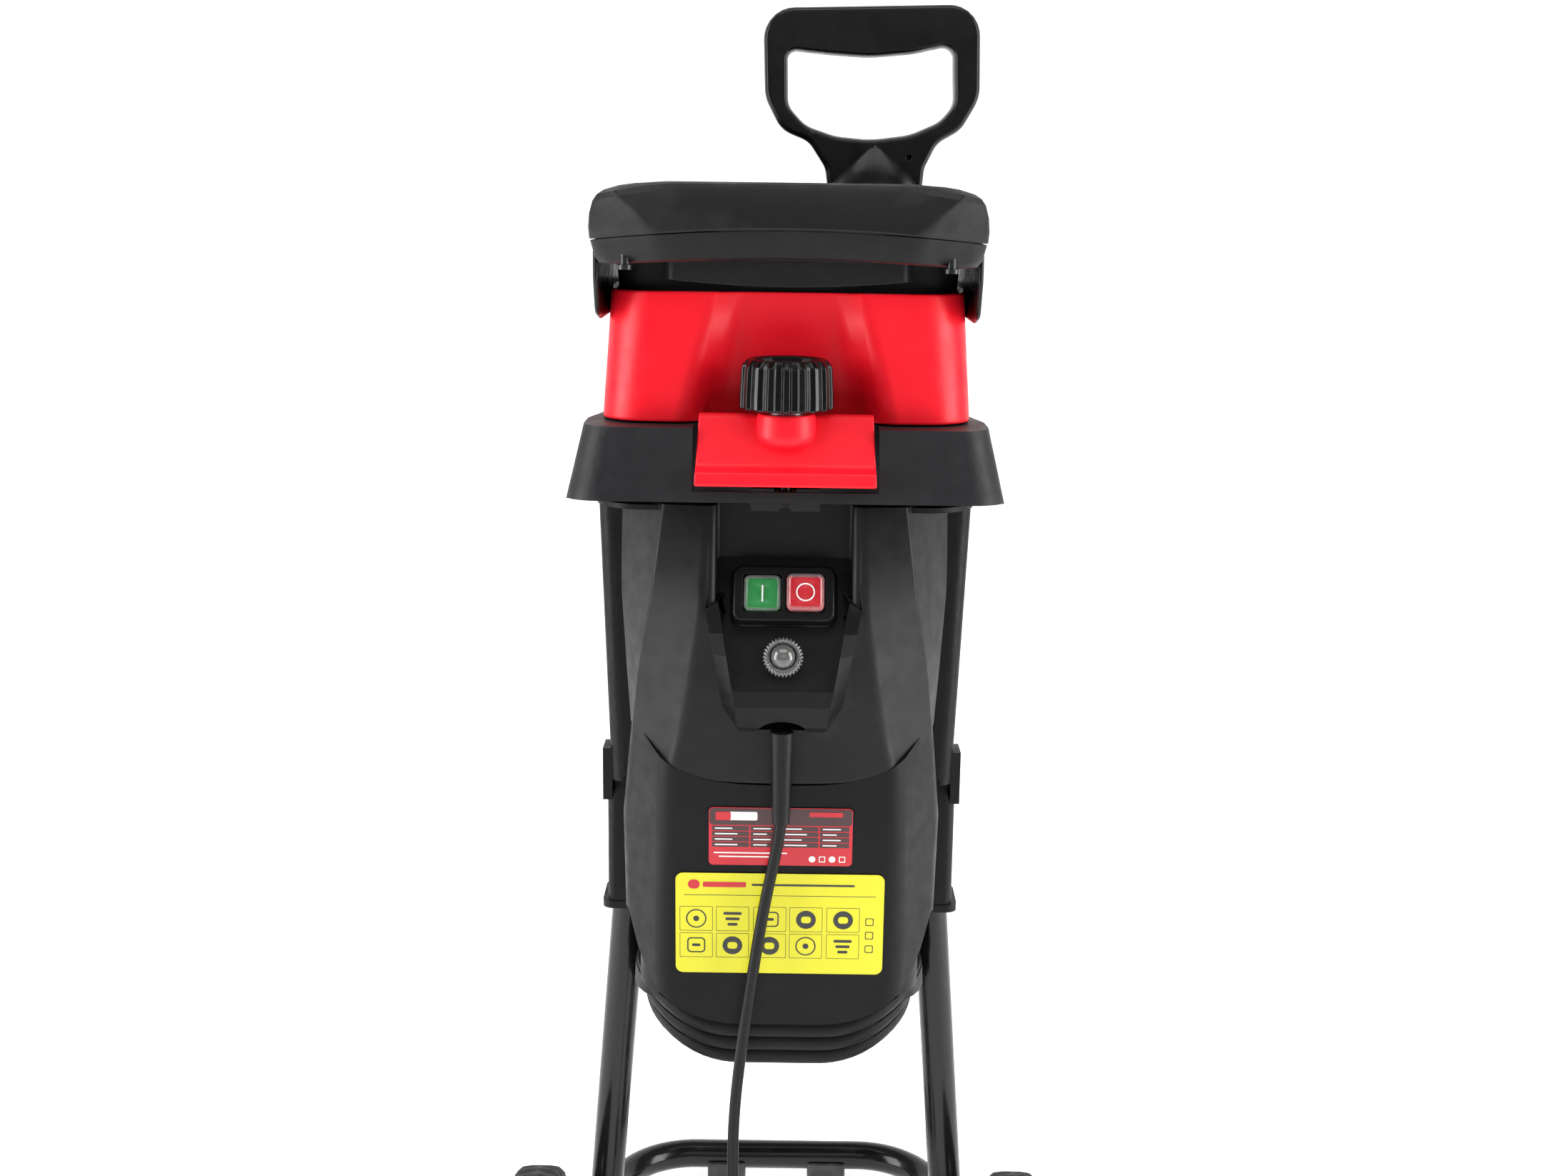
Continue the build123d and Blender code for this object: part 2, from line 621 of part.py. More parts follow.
with BuildPart() as bearings:
    for z in (560, 592):
        with BuildSketch(Plane.XY.offset(z)):
            Circle(17.5)
            Circle(7.5 + RUNNING, mode=Mode.SUBTRACT)
        extrude(amount=10)
    for z in (352, 560):
        with BuildSketch(Plane.XY.offset(z)):
            with Locations((0, MOTOR_Y)):
                Circle(13)
                Circle(6 + RUNNING, mode=Mode.SUBTRACT)
        extrude(amount=6)
pieces["bearings"] = bearings.part

# ---------------------------------------------------------------- motor
with BuildPart() as armature_shaft:
    with Locations((0, MOTOR_Y, 352)):
        Cylinder(6, 220, align=(Align.CENTER, Align.CENTER, Align.MIN))
    extrude(gear_outline(571, 0, MOTOR_Y, PINION_TEETH, 90 + 180 / PINION_TEETH, None), amount=16)
pieces["armature_shaft"] = armature_shaft.part

with BuildPart() as armature_core:
    with BuildSketch(Plane.XY.offset(425)):
        with Locations((0, MOTOR_Y)):
            Circle(29)
            Circle(6, mode=Mode.SUBTRACT)
            with PolarLocations(26.5, 12):
                Rectangle(6, 2.4, mode=Mode.SUBTRACT)
    extrude(amount=70)
    with BuildSketch(Plane.XY.offset(382)):
        with Locations((0, MOTOR_Y)):
            Circle(14)
            Circle(6, mode=Mode.SUBTRACT)
    extrude(amount=20)
pieces["armature_core"] = armature_core.part

with BuildPart() as cooling_fan:
    with BuildSketch(Plane.XY.offset(516)):
        with Locations((0, MOTOR_Y)):
            Circle(45)
            Circle(6, mode=Mode.SUBTRACT)
    extrude(amount=2.5)
    with BuildSketch(Plane.XY.offset(516)):
        with Locations((0, MOTOR_Y)):
            Circle(11)
            Circle(6, mode=Mode.SUBTRACT)
            with PolarLocations(28, 12):
                Rectangle(30, 2)
    extrude(amount=16)
pieces["cooling_fan"] = cooling_fan.part

with BuildPart() as stator_core:
    with BuildSketch(Plane.XY.offset(425)):
        with Locations((0, MOTOR_Y)):
            Circle(50)
            Circle(30.5, mode=Mode.SUBTRACT)
            with PolarLocations(38, 2):
                Rectangle(9, 40, mode=Mode.SUBTRACT)
    extrude(amount=70)
pieces["stator_core"] = stator_core.part

with BuildPart() as field_windings:
    for z in (411, 496):
        with BuildSketch(Plane.XY.offset(z)):
            with Locations((0, MOTOR_Y)):
                Circle(42)
                Circle(32, mode=Mode.SUBTRACT)
        extrude(amount=13)
    fillet(field_windings.edges(), 3)
pieces["field_windings"] = field_windings.part

with BuildPart() as motor_plate:
    with BuildSketch(Plane.XY.offset(352)):
        with Locations((0, MOTOR_Y)):
            Circle(52)
            Circle(13, mode=Mode.SUBTRACT)
            with PolarLocations(30, 6, start_angle=30):
                Circle(6, mode=Mode.SUBTRACT)
    extrude(amount=8)
    with BuildSketch(Plane.XY.offset(352)):
        with Locations((0, MOTOR_Y)):
            with PolarLocations(46.5, 4, start_angle=45):
                Circle(4)
    extrude(amount=73)
pieces["motor_plate"] = motor_plate.part

with BuildPart() as brush_gear:
    for side in (-1, 1):
        with Locations((side * 30, MOTOR_Y, 360)):
            Box(24, 14, 40, align=(Align.CENTER, Align.CENTER, Align.MIN))
        with Locations((side * 25, MOTOR_Y, 392)):
            Box(21, 7, 9)
    with Locations((0, MOTOR_Y, 392)):
        Cylinder(14.1, 40, mode=Mode.SUBTRACT)
pieces["brush_gear"] = brush_gear.part

with BuildPart() as interlock_switch:
    with Locations((-88, 96, 630)):
        Box(14, 12, 24)
    with Locations((-88, 96, 642)):
        Cylinder(2.1, 20, mode=Mode.SUBTRACT)
    add(collar.part, mode=Mode.SUBTRACT)
pieces["interlock_switch"] = interlock_switch.part

with BuildPart() as interlock_plunger:
    with Locations((-88, 96, 633)):
        Cylinder(2, 18.9, align=(Align.CENTER, Align.CENTER, Align.MIN))
pieces["interlock_plunger"] = interlock_plunger.part

# ---------------------------------------------------------------- hopper
with BuildPart() as channel:
    loft(sections=[
        plan_box(RED_BOTTOM - 1, 48, -150, -85.5, 0.5, 10),
        plan_box(RED_TOP + 1, 37, -150, -91, 0.5, 5),
    ])

with BuildPart() as channel_jacket:
    loft(sections=[
        plan_box(RED_BOTTOM - 2, 48 + WALL, -150, -85.5 + WALL, 0.5, 10 + WALL),
        plan_box(RED_TOP + 2, 37 + WALL, -150, -91 + WALL, 0.5, 5 + WALL),
    ])

with BuildPart() as red_void:
    loft(sections=[
        plan_box(RED_BOTTOM + WALL, 108.5 - WALL, -112 + WALL, 108 - WALL, 37, 37),
        plan_box(RED_TOP + 1, 103.5 - WALL, -100 + WALL, 100 - WALL, 35, 35),
    ])
    add(channel_jacket.part, mode=Mode.SUBTRACT)

with BuildPart() as red_housing:
    loft(sections=[
        plan_box(RED_BOTTOM, 108.5, -112, 108, 40, 40),
        plan_box(RED_TOP, 103.5, -100, 100, 38, 38),
    ])
    add(channel.part, mode=Mode.SUBTRACT)
    add(red_void.part, mode=Mode.SUBTRACT)
    with Locations((THROAT_X, THROAT_Y, RED_BOTTOM)):
        Box(THROAT_SIZE + 2 * WALL, THROAT_SIZE + 2 * WALL, 20, mode=Mode.SUBTRACT)
    for x in (-33, 33):
        with BuildSketch(Plane.YZ.offset(x - 12)):
            with BuildLine():
                Polyline((104, RED_BOTTOM + 3), (HINGE_Y, RED_BOTTOM + 3), (HINGE_Y, HINGE_Z + 7),
                         (104, HINGE_Z + 12),
                         close=True)
            make_face()
            with Locations((HINGE_Y, HINGE_Z)):
                Circle(7)
                Circle(HINGE_PIN_R + RUNNING, mode=Mode.SUBTRACT)
        extrude(amount=24)
pieces["red_housing"] = red_housing.part

with BuildPart() as latch_plate:
    with BuildSketch(Plane.YZ.offset(-LATCH_HALF)):
        with BuildLine():
            Polyline((-112.2, 652), (-112.2, 658), (-120, 658), (-135, 629), (-141, 627),
                     (-142, 619), (-132, 619),
                     (-117, 650), close=True)
        make_face()
    extrude(amount=2 * LATCH_HALF)
    with Locations((0, -113, RED_BOTTOM)):
        Box(90, 24, 6, align=(Align.CENTER, Align.MIN, Align.MIN))
    with BuildSketch(Plane.XY.offset(640)):
        with Locations((0, KNOB_Y)):
            Circle(16)
    extrude(amount=19)
    add(red_housing.part, mode=Mode.SUBTRACT)
    with Locations((0, KNOB_Y, 640)):
        Cylinder(SCREW_R + 0.3, 80, mode=Mode.SUBTRACT)
pieces["latch_plate"] = latch_plate.part

with BuildPart() as funnel_void:
    loft(sections=[
        plan_box(RIM_BOTTOM + 1, 80, -90, 78, 12, 12),
        plan_box(660, THROAT_SIZE / 2, THROAT_Y - THROAT_SIZE / 2, THROAT_Y + THROAT_SIZE / 2, 6, 6)
        .moved(Location((THROAT_X, 0, 0))),
    ])
    extrude(plan_box(THROAT_BOTTOM - 1, THROAT_SIZE / 2, THROAT_Y - THROAT_SIZE / 2,
                     THROAT_Y + THROAT_SIZE / 2, 6, 6)
            .moved(Location((THROAT_X, 0, 0))), amount=30)

with BuildPart() as hopper_funnel:
    loft(sections=[
        plan_box(RIM_BOTTOM, 80 + WALL, -90 - WALL, 78 + WALL, 15, 15),
        plan_box(660, THROAT_SIZE / 2 + WALL, THROAT_Y - THROAT_SIZE / 2 - WALL,
                 THROAT_Y + THROAT_SIZE / 2 + WALL, 9, 9)
        .moved(Location((THROAT_X, 0, 0))),
    ])
    extrude(plan_box(THROAT_BOTTOM, THROAT_SIZE / 2 + WALL, THROAT_Y - THROAT_SIZE / 2 - WALL,
                     THROAT_Y + THROAT_SIZE / 2 + WALL, 9, 9).moved(Location((THROAT_X, 0, 0))), amount=26)
    extrude(plan_box(RIM_BOTTOM - WALL, 107, -95, 92, 20, 30), amount=WALL)
    for side in (-1, 1):
        with Locations((side * 106.5, -10, 711)):
            Box(5, 150, 30, align=(Align.CENTER, Align.CENTER, Align.MIN))
    add(red_housing.part, mode=Mode.SUBTRACT)
    add(funnel_void.part, mode=Mode.SUBTRACT)
pieces["hopper_funnel"] = hopper_funnel.part


def rim_outline(z, grow):
    """Plan of the hopper rim with its mouth and hand slot."""
    with BuildSketch(Plane.XY.offset(z)) as plan:
        add(plan_box(0, RIM_HALF + grow, RIM_FRONT - grow, RIM_REAR + grow, 26, 34))
        with Locations((0, -6)):
            RectangleRounded(160 - 2 * grow, 168 - 2 * grow, 12, mode=Mode.SUBTRACT)
        with Locations((0, -113)):
            RectangleRounded(140 - 2 * grow, 28 - 2 * grow, 10, mode=Mode.SUBTRACT)
    return plan.sketch


with BuildPart() as rim_upper:
    extrude(rim_outline(RIM_PARTING, 0), amount=RIM_TOP - RIM_PARTING)
    extrude(rim_outline(RIM_PARTING - 1, -WALL), amount=RIM_TOP - RIM_PARTING - WALL, mode=Mode.SUBTRACT)
    chamfer(rim_upper.faces().sort_by(Axis.Z)[-1].outer_wire().edges(), 9)
pieces["rim_upper"] = rim_upper.part

with BuildPart() as rim_lower:
    extrude(rim_outline(RIM_BOTTOM, 0), amount=RIM_PARTING - RIM_BOTTOM)
    chamfer(rim_lower.faces().sort_by(Axis.Z)[0].outer_wire().edges(), 7)
    extrude(rim_outline(RIM_BOTTOM + WALL, -WALL), amount=60, mode=Mode.SUBTRACT)
    for x in (-90, 90):
        with Locations((x, -138, RIM_BOTTOM)):
            Cylinder(2.5, 30, mode=Mode.SUBTRACT)
pieces["rim_lower"] = rim_lower.part

with BuildPart() as rim_screws:
    for x in (-90, 90):
        with Locations((x, -138, RIM_BOTTOM - 2.5)):
            Cylinder(4, 2.5, align=(Align.CENTER, Align.CENTER, Align.MIN))
        with Locations((x, -138, RIM_BOTTOM)):
            Cylinder(2.5, 18, align=(Align.CENTER, Align.CENTER, Align.MIN))
pieces["rim_screws"] = rim_screws.part

with BuildPart() as plunger_handle:
    with BuildSketch(Plane.XZ.offset(-THROAT_Y + 11)) as handle_view:
        with BuildLine():
            Polyline((-27, HANDLE_BOTTOM), (-27, 793), (-HANDLE_HALF, 836), (-HANDLE_HALF, HANDLE_TOP),
                     (HANDLE_HALF, HANDLE_TOP), (HANDLE_HALF, 836), (27, 793), (27, HANDLE_BOTTOM),
                     close=True)
        make_face()
        levels = handle_view.vertices().group_by(Axis.Y)
        fillet(levels[-1] + levels[1] + levels[2], 19)
        with BuildLine():
            Polyline((-49, 838), (-49, 866), (49, 866), (49, 838))
            ThreePointArc((49, 838), (0, 813), (-49, 838))
        make_face(mode=Mode.SUBTRACT)
    extrude(amount=-22)
    with BuildSketch(Plane.XY.offset(HANDLE_BOTTOM)):
        with Locations((0, THROAT_Y)):
            Circle(27)
    with BuildSketch(Plane.XY.offset(810)):
        with Locations((0, THROAT_Y)):
            Circle(6)
    loft()
    with BuildSketch(Plane.XY.offset(HANDLE_BOTTOM)):
        with Locations((0, THROAT_Y)):
            RectangleRounded(50, 46, 8)
    with BuildSketch(Plane.XY.offset(PLUNGER_FOOT)):
        with Locations((0, THROAT_Y)):
            RectangleRounded(52, 50, 8)
    loft()
plunger_handle.part = plunger_handle.part.moved(Location((THROAT_X, 0, 0)))
pieces["plunger"] = plunger_handle.part

with BuildPart() as knob:
    with BuildSketch(Plane.XY.offset(KNOB_BOTTOM)):
        with Locations((0, KNOB_Y)):
            Circle(KNOB_R)
            with PolarLocations(KNOB_R + 1.5, 16):
                Circle(3.2, mode=Mode.SUBTRACT)
    extrude(amount=KNOB_TOP - KNOB_BOTTOM)
    chamfer(knob.faces().sort_by(Axis.Z)[-1].edges(), 1.5)
    with Locations((0, KNOB_Y, KNOB_BOTTOM)):
        Cylinder(SCREW_R, 36, mode=Mode.SUBTRACT)
pieces["knob"] = knob.part

with BuildPart() as lock_screw:
    with Locations((0, KNOB_Y, 609)):
        Cylinder(SCREW_R, 70, align=(Align.CENTER, Align.CENTER, Align.MIN))
    chamfer(lock_screw.faces().sort_by(Axis.Z)[0].edges(), 1)
pieces["lock_screw"] = lock_screw.part

with BuildPart() as knob_washer:
    with BuildSketch(Plane.XY.offset(659.2)):
        with Locations((0, KNOB_Y)):
            Circle(11)
            Circle(SCREW_R + RUNNING, mode=Mode.SUBTRACT)
    extrude(amount=1.6)
pieces["knob_washer"] = knob_washer.part

# ---------------------------------------------------------------- switch console
with BuildPart() as wings:
    with BuildSketch(Plane.YZ):
        with BuildLine():
            Polyline((-97, 556), (-118, 556), (-134, 548), (-151, 500), (-145, 484), (-122, 466),
                     (-97, 466), close=True)
        make_face()
    extrude(amount=60, both=True)
    add(console_outline.part, mode=Mode.INTERSECT)
    with BuildSketch(Plane.XZ.offset(96)):
        with BuildLine():
            Polyline((-38, 560), (-41.5, 548), (-37.5, 501), (-24, 460), (24, 460), (37.5, 501),
                     (41.5, 548), (38, 560),
                     close=True)
        make_face()
    extrude(amount=90, mode=Mode.SUBTRACT)

with BuildPart() as console:
    with BuildSketch(Plane.YZ):
        with BuildLine():
            Polyline(on_panel(31, 0), on_panel(-59, 0), (-122, 468), (CONSOLE_BACK, 468),
                     (CONSOLE_BACK, 578), close=True)
        make_face()
    extrude(amount=60, both=True)
    add(console_outline.part, mode=Mode.INTERSECT)
    with BuildSketch(Plane.YZ):
        with BuildLine():
            Polyline(on_panel(25, WALL), on_panel(-57, WALL), (-119, 471), (CONSOLE_BACK + 1, 471),
                     (CONSOLE_BACK + 1, 571),
                     close=True)
        make_face()
    extrude(amount=25, both=True, mode=Mode.SUBTRACT)
    add(wings.part)
    with BuildSketch(panel.offset(-1)):
        Rectangle(50, 26)
        with Locations((0, -BREAKER_DROP)):
            Circle(8)
    extrude(amount=20, both=True, mode=Mode.SUBTRACT)
    with Locations((0, -128, 470)):
        Cylinder(7, 14, mode=Mode.SUBTRACT)
pieces["switch_console"] = console.part

with BuildPart() as switch_body:
    with BuildSketch(panel):
        RectangleRounded(60, 34, 4)
    extrude(amount=10)
    with BuildSketch(panel):
        Rectangle(50, 26)
    extrude(amount=-20)
    with BuildSketch(panel.offset(-10)):
        for x in (-12.5, 12.5):
            with Locations((x, 0)):
                Rectangle(21.6, 21.6)
    extrude(amount=40, mode=Mode.SUBTRACT)
pieces["switch_body"] = switch_body.part

for x, button_name, proud in ((-12.5, "start_button", 11.0), (12.5, "stop_button", 14.0)):
    with BuildPart() as button:
        with BuildSketch(panel.offset(0)):
            with Locations((x, 0)):
                RectangleRounded(20.6, 20.6, 2)
        extrude(amount=proud)
        chamfer(button.faces().sort_by(Axis.Y)[0].edges(), 0.8)
    pieces[button_name] = button.part

with BuildPart() as breaker_ring:
    with BuildSketch(panel):
        with Locations((0, -BREAKER_DROP)):
            Circle(12)
            Circle(7.5, mode=Mode.SUBTRACT)
    extrude(amount=6)
pieces["breaker_ring"] = breaker_ring.part

with BuildPart() as breaker_body:
    with BuildSketch(panel.offset(-22)):
        with Locations((0, -BREAKER_DROP)):
            Circle(7.5)
    extrude(amount=22)
    with BuildSketch(panel.offset(-6)):
        with Locations((0, -BREAKER_DROP)):
            Circle(4.6)
    extrude(amount=10, mode=Mode.SUBTRACT)
pieces["breaker_body"] = breaker_body.part

with BuildPart() as reset_button:
    with BuildSketch(panel.offset(-3)):
        with Locations((0, -BREAKER_DROP)):
            Circle(4.5)
    extrude(amount=8)
pieces["reset_button"] = reset_button.part

with BuildPart() as cord_boot:
    with Locations((0, CORD_Y, 417)):
        Cone(5.2, 6.8, 56, align=(Align.CENTER, Align.CENTER, Align.MIN))
    with Locations((0, CORD_Y, 417)):
        Cylinder(CORD_R, 200, mode=Mode.SUBTRACT)
pieces["cord_boot"] = cord_boot.part

with BuildPart() as cord:
    with BuildLine():
        cord_path = Spline((0, CORD_Y, 473), (0, CORD_Y, 418), (-7, -124, 375), (-17, -122, 310),
                           (-23, -121, 262),
                           (-27, -120, 200), (-25, -118, 140), (-21, -116, 100),
                           tangents=((0, 0, -1), (0.1, 0, -1)))
    with BuildSketch(Plane(origin=cord_path @ 0, z_dir=cord_path % 0)):
        Circle(CORD_R)
    sweep()
pieces["cord"] = cord.part

with BuildPart() as plug:
    plug_plane = Plane(origin=cord_path @ 1, z_dir=cord_path % 1)
    with BuildSketch(plug_plane):
        Circle(7)
    with BuildSketch(plug_plane.offset(22)):
        Circle(19)
    loft()
    with BuildSketch(plug_plane.offset(22)):
        Circle(19)
    extrude(amount=14)
    with BuildSketch(plug_plane.offset(36)):
        with Locations((-9.5, 0), (9.5, 0)):
            Circle(2.4)
    extrude(amount=19)
pieces["plug"] = plug.part

label_tilt = math.degrees(math.atan2(8.0, 120.0))
for label_name, height, width, tall in (("rating_label", 405.0, 86.0, 37.0), ("notice_label", 348.0,
                                                                              126.0, 66.0)):
    label_y = -112.0 - (height - 330.0) / 120.0 * 8.0
    label_plane = Plane(origin=(0, label_y, height), x_dir=(1, 0, 0),
                        z_dir=(0, -math.cos(math.radians(label_tilt)), -math.sin(math.radians(label_tilt))))
    with BuildPart() as label_plate:
        with BuildSketch(label_plane):
            RectangleRounded(width, tall, 4)
        extrude(amount=0.6)
        add(lower_cover.part, mode=Mode.SUBTRACT)
    pieces[label_name] = label_plate.part

with BuildPart() as housing_fasteners:
    for side in (-1, 1):
        for z in (450, 560):
            with BuildSketch(Plane.XZ.offset(-110)):
                with Locations((side * 84, z)):
                    Circle(4)
            extrude(amount=4)
    add(rear_housing.part, mode=Mode.SUBTRACT)
    for side in (-1, 1):
        bolt_x = side * LEG_BOLT_X
        with Locations(Location((bolt_x, LEG_Y, LEG_BOLT_Z), (90, 0, 0))):
            Cylinder(3, 38)
        with BuildSketch(Plane(origin=(bolt_x, LEG_Y + 19, LEG_BOLT_Z), z_dir=(0, 1, 0))):
            RegularPolygon(5.8, 6)
        extrude(amount=4)
        with BuildSketch(Plane(origin=(bolt_x, LEG_Y - 19, LEG_BOLT_Z), z_dir=(0, -1, 0))):
            Circle(5.5)
        extrude(amount=0.9)
pieces["housing_fasteners"] = housing_fasteners.part

for label, piece in pieces.items():
    piece.label = label
    export_step(piece, f"parts/{label}.step")
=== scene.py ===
import bpy
import bmesh
import math
from mathutils import Matrix, Vector


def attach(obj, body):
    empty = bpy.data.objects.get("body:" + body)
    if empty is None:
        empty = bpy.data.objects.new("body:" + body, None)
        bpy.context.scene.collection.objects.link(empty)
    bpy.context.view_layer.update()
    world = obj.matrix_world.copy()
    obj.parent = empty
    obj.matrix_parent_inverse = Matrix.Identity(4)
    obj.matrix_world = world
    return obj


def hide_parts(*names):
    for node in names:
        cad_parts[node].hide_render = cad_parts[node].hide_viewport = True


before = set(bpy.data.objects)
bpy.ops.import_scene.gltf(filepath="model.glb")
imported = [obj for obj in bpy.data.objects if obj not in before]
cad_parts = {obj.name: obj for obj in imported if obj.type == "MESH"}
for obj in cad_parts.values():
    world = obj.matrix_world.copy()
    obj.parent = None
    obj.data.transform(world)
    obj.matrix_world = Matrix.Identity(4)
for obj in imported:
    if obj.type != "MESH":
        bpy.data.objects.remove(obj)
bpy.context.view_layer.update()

MM = 0.001


# ------------------------------------------------------------------ mesh helpers
def rounded_loop(corners, segments=4, closed=True):
    """Points along an outline of (x, y, radius) corners, each turned into an arc."""
    points = []
    last = len(corners) - 1
    for index, (x, y, radius) in enumerate(corners):
        corner = Vector((x, y))
        if not closed and index in (0, last):
            points.append((x, y))
            continue
        back = Vector(corners[index - 1][:2]) - corner
        ahead = Vector(corners[(index + 1) % len(corners)][:2]) - corner
        half_angle = max(back.angle(ahead) / 2, 0.01)
        reach = min(radius / math.tan(half_angle), 0.48 * back.length, 0.48 * ahead.length)
        true_radius = reach * math.tan(half_angle)
        bisector = back.normalized() + ahead.normalized()
        if bisector.length < 1e-4:
            for step in range(segments + 1):
                points.append(tuple(corner + ahead.normalized() * reach * (2 * step / segments - 1)))
            continue
        centre = corner + bisector.normalized() * (true_radius / math.sin(half_angle))
        start = corner + back.normalized() * reach - centre
        end = corner + ahead.normalized() * reach - centre
        for step in range(segments + 1):
            spoke = start.lerp(end, step / segments).normalized() * true_radius
            points.append(tuple(centre + spoke))
    return points


def loft(rings, closed=True, caps=(True, True), torus=False):
    """Skin a list of rings with equal point counts."""
    count = len(rings[0])
    verts = [point for ring in rings for point in ring]
    faces = []
    spans = len(rings) if torus else len(rings) - 1
    for row in range(spans):
        here = row * count
        there = ((row + 1) % len(rings)) * count
        for i in range(count if closed else count - 1):
            j = (i + 1) % count
            faces.append((here + i, here + j, there + j, there + i))
    if caps[0] and not torus:
        faces.append(tuple(range(count))[::-1])
    if caps[1] and not torus:
        faces.append(tuple(range((len(rings) - 1) * count, len(rings) * count)))
    return verts, faces


def mesh_object(name, verts, faces):
    """New mesh object from millimetre vertices, with its faces turned outwards."""
    mesh = bpy.data.meshes.new(name)
    mesh.from_pydata([Vector(v) * MM for v in verts], [], faces)
    shape = bmesh.new()
    shape.from_mesh(mesh)
    bmesh.ops.remove_doubles(shape, verts=shape.verts, dist=1e-6)
    bmesh.ops.recalc_face_normals(shape, faces=shape.faces)
    shape.to_mesh(mesh)
    shape.free()
    piece = bpy.data.objects.new(name, mesh)
    bpy.context.scene.collection.objects.link(piece)
    return piece


def boolean(piece, cutter, operation="DIFFERENCE"):
    """Apply a boolean and throw the cutter away."""
    modifier = piece.modifiers.new("cut", "BOOLEAN")
    modifier.operation = operation
    modifier.solver = "EXACT"
    modifier.object = cutter
    apply_modifiers(piece)
    bpy.data.objects.remove(cutter)


def apply_modifiers(piece):
    """Bake the modifier stack into the mesh."""
    graph = bpy.context.evaluated_depsgraph_get()
    baked = bpy.data.meshes.new_from_object(piece.evaluated_get(graph))
    piece.modifiers.clear()
    piece.data = baked


def soften(piece, width, angle=32, segments=3):
    """Round the hard edges and weight the normals so that flat faces stay flat."""
    for polygon in piece.data.polygons:
        polygon.use_smooth = True
    if width:
        bevel = piece.modifiers.new("soft edges", "BEVEL")
        bevel.width = width * MM
        bevel.segments = segments
        bevel.limit_method = "ANGLE"
        bevel.angle_limit = math.radians(angle)
        bevel.use_clamp_overlap = True
    normals = piece.modifiers.new("normals", "WEIGHTED_NORMAL")
    normals.keep_sharp = True
    normals.weight = 80


def thicken(piece, thickness, offset=-1.0):
    """Give an open skin its wall."""
    solid = piece.modifiers.new("wall", "SOLIDIFY")
    solid.thickness = thickness * MM
    solid.offset = offset
    solid.use_even_offset = True


def fit(piece, body, slot, look, *nodes):
    """Hang a piece on its body with its material, in place of the named nodes."""
    piece.data.materials.clear()
    piece.data.materials.append(look)
    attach(piece, body)
    if nodes:
        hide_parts(*nodes)
    return piece


def block(name, low, high):
    """Plain box used as a cutter."""
    (x0, y0, z0), (x1, y1, z1) = low, high
    verts = [(x, y, z) for z in (z0, z1) for x, y in ((x0, y0), (x1, y0), (x1, y1), (x0, y1))]
    return mesh_object(name, *loft([verts[:4], verts[4:]]))


def blend_value(stations, height):
    """Linear interpolation in a list of (height, values...) stations."""
    stations = sorted(stations)
    if height <= stations[0][0]:
        return stations[0][1:]
    for low, high in zip(stations, stations[1:]):
        if height <= high[0]:
            share = (height - low[0]) / (high[0] - low[0])
            return tuple(a + (b - a) * share for a, b in zip(low[1:], high[1:]))
    return stations[-1][1:]


# ------------------------------------------------------------------ materials
def node_tree(name):
    """New material and shorthand for adding its nodes."""
    look = bpy.data.materials.new(name)
    look.use_nodes = True
    return look, look.node_tree.nodes, look.node_tree.links, look.node_tree.nodes["Principled BSDF"]


def noise_node(nodes, links, source, scale, detail=4.0, stretch=None):
    """Noise in object space, optionally stretched along an axis."""
    noise_tex = nodes.new("ShaderNodeTexNoise")
    noise_tex.inputs["Scale"].default_value = scale
    noise_tex.inputs["Detail"].default_value = detail
    if stretch:
        mapping = nodes.new("ShaderNodeMapping")
        mapping.inputs["Scale"].default_value = stretch
        links.new(source, mapping.inputs["Vector"])
        source = mapping.outputs["Vector"]
    links.new(source, noise_tex.inputs["Vector"])
    return noise_tex.outputs["Fac"]


def ramp_node(nodes, links, source, low, high, low_at=0.3, high_at=0.7):
    """Map a value onto a range of grey or colour."""
    ramp = nodes.new("ShaderNodeValToRGB")
    ramp.color_ramp.elements[0].position = low_at
    ramp.color_ramp.elements[1].position = high_at
    for element, colour in zip(ramp.color_ramp.elements, (low, high)):
        element.color = (*colour, 1) if isinstance(colour, tuple) else (colour, colour, colour, 1)
    links.new(source, ramp.inputs["Fac"])
    return ramp.outputs["Color"]


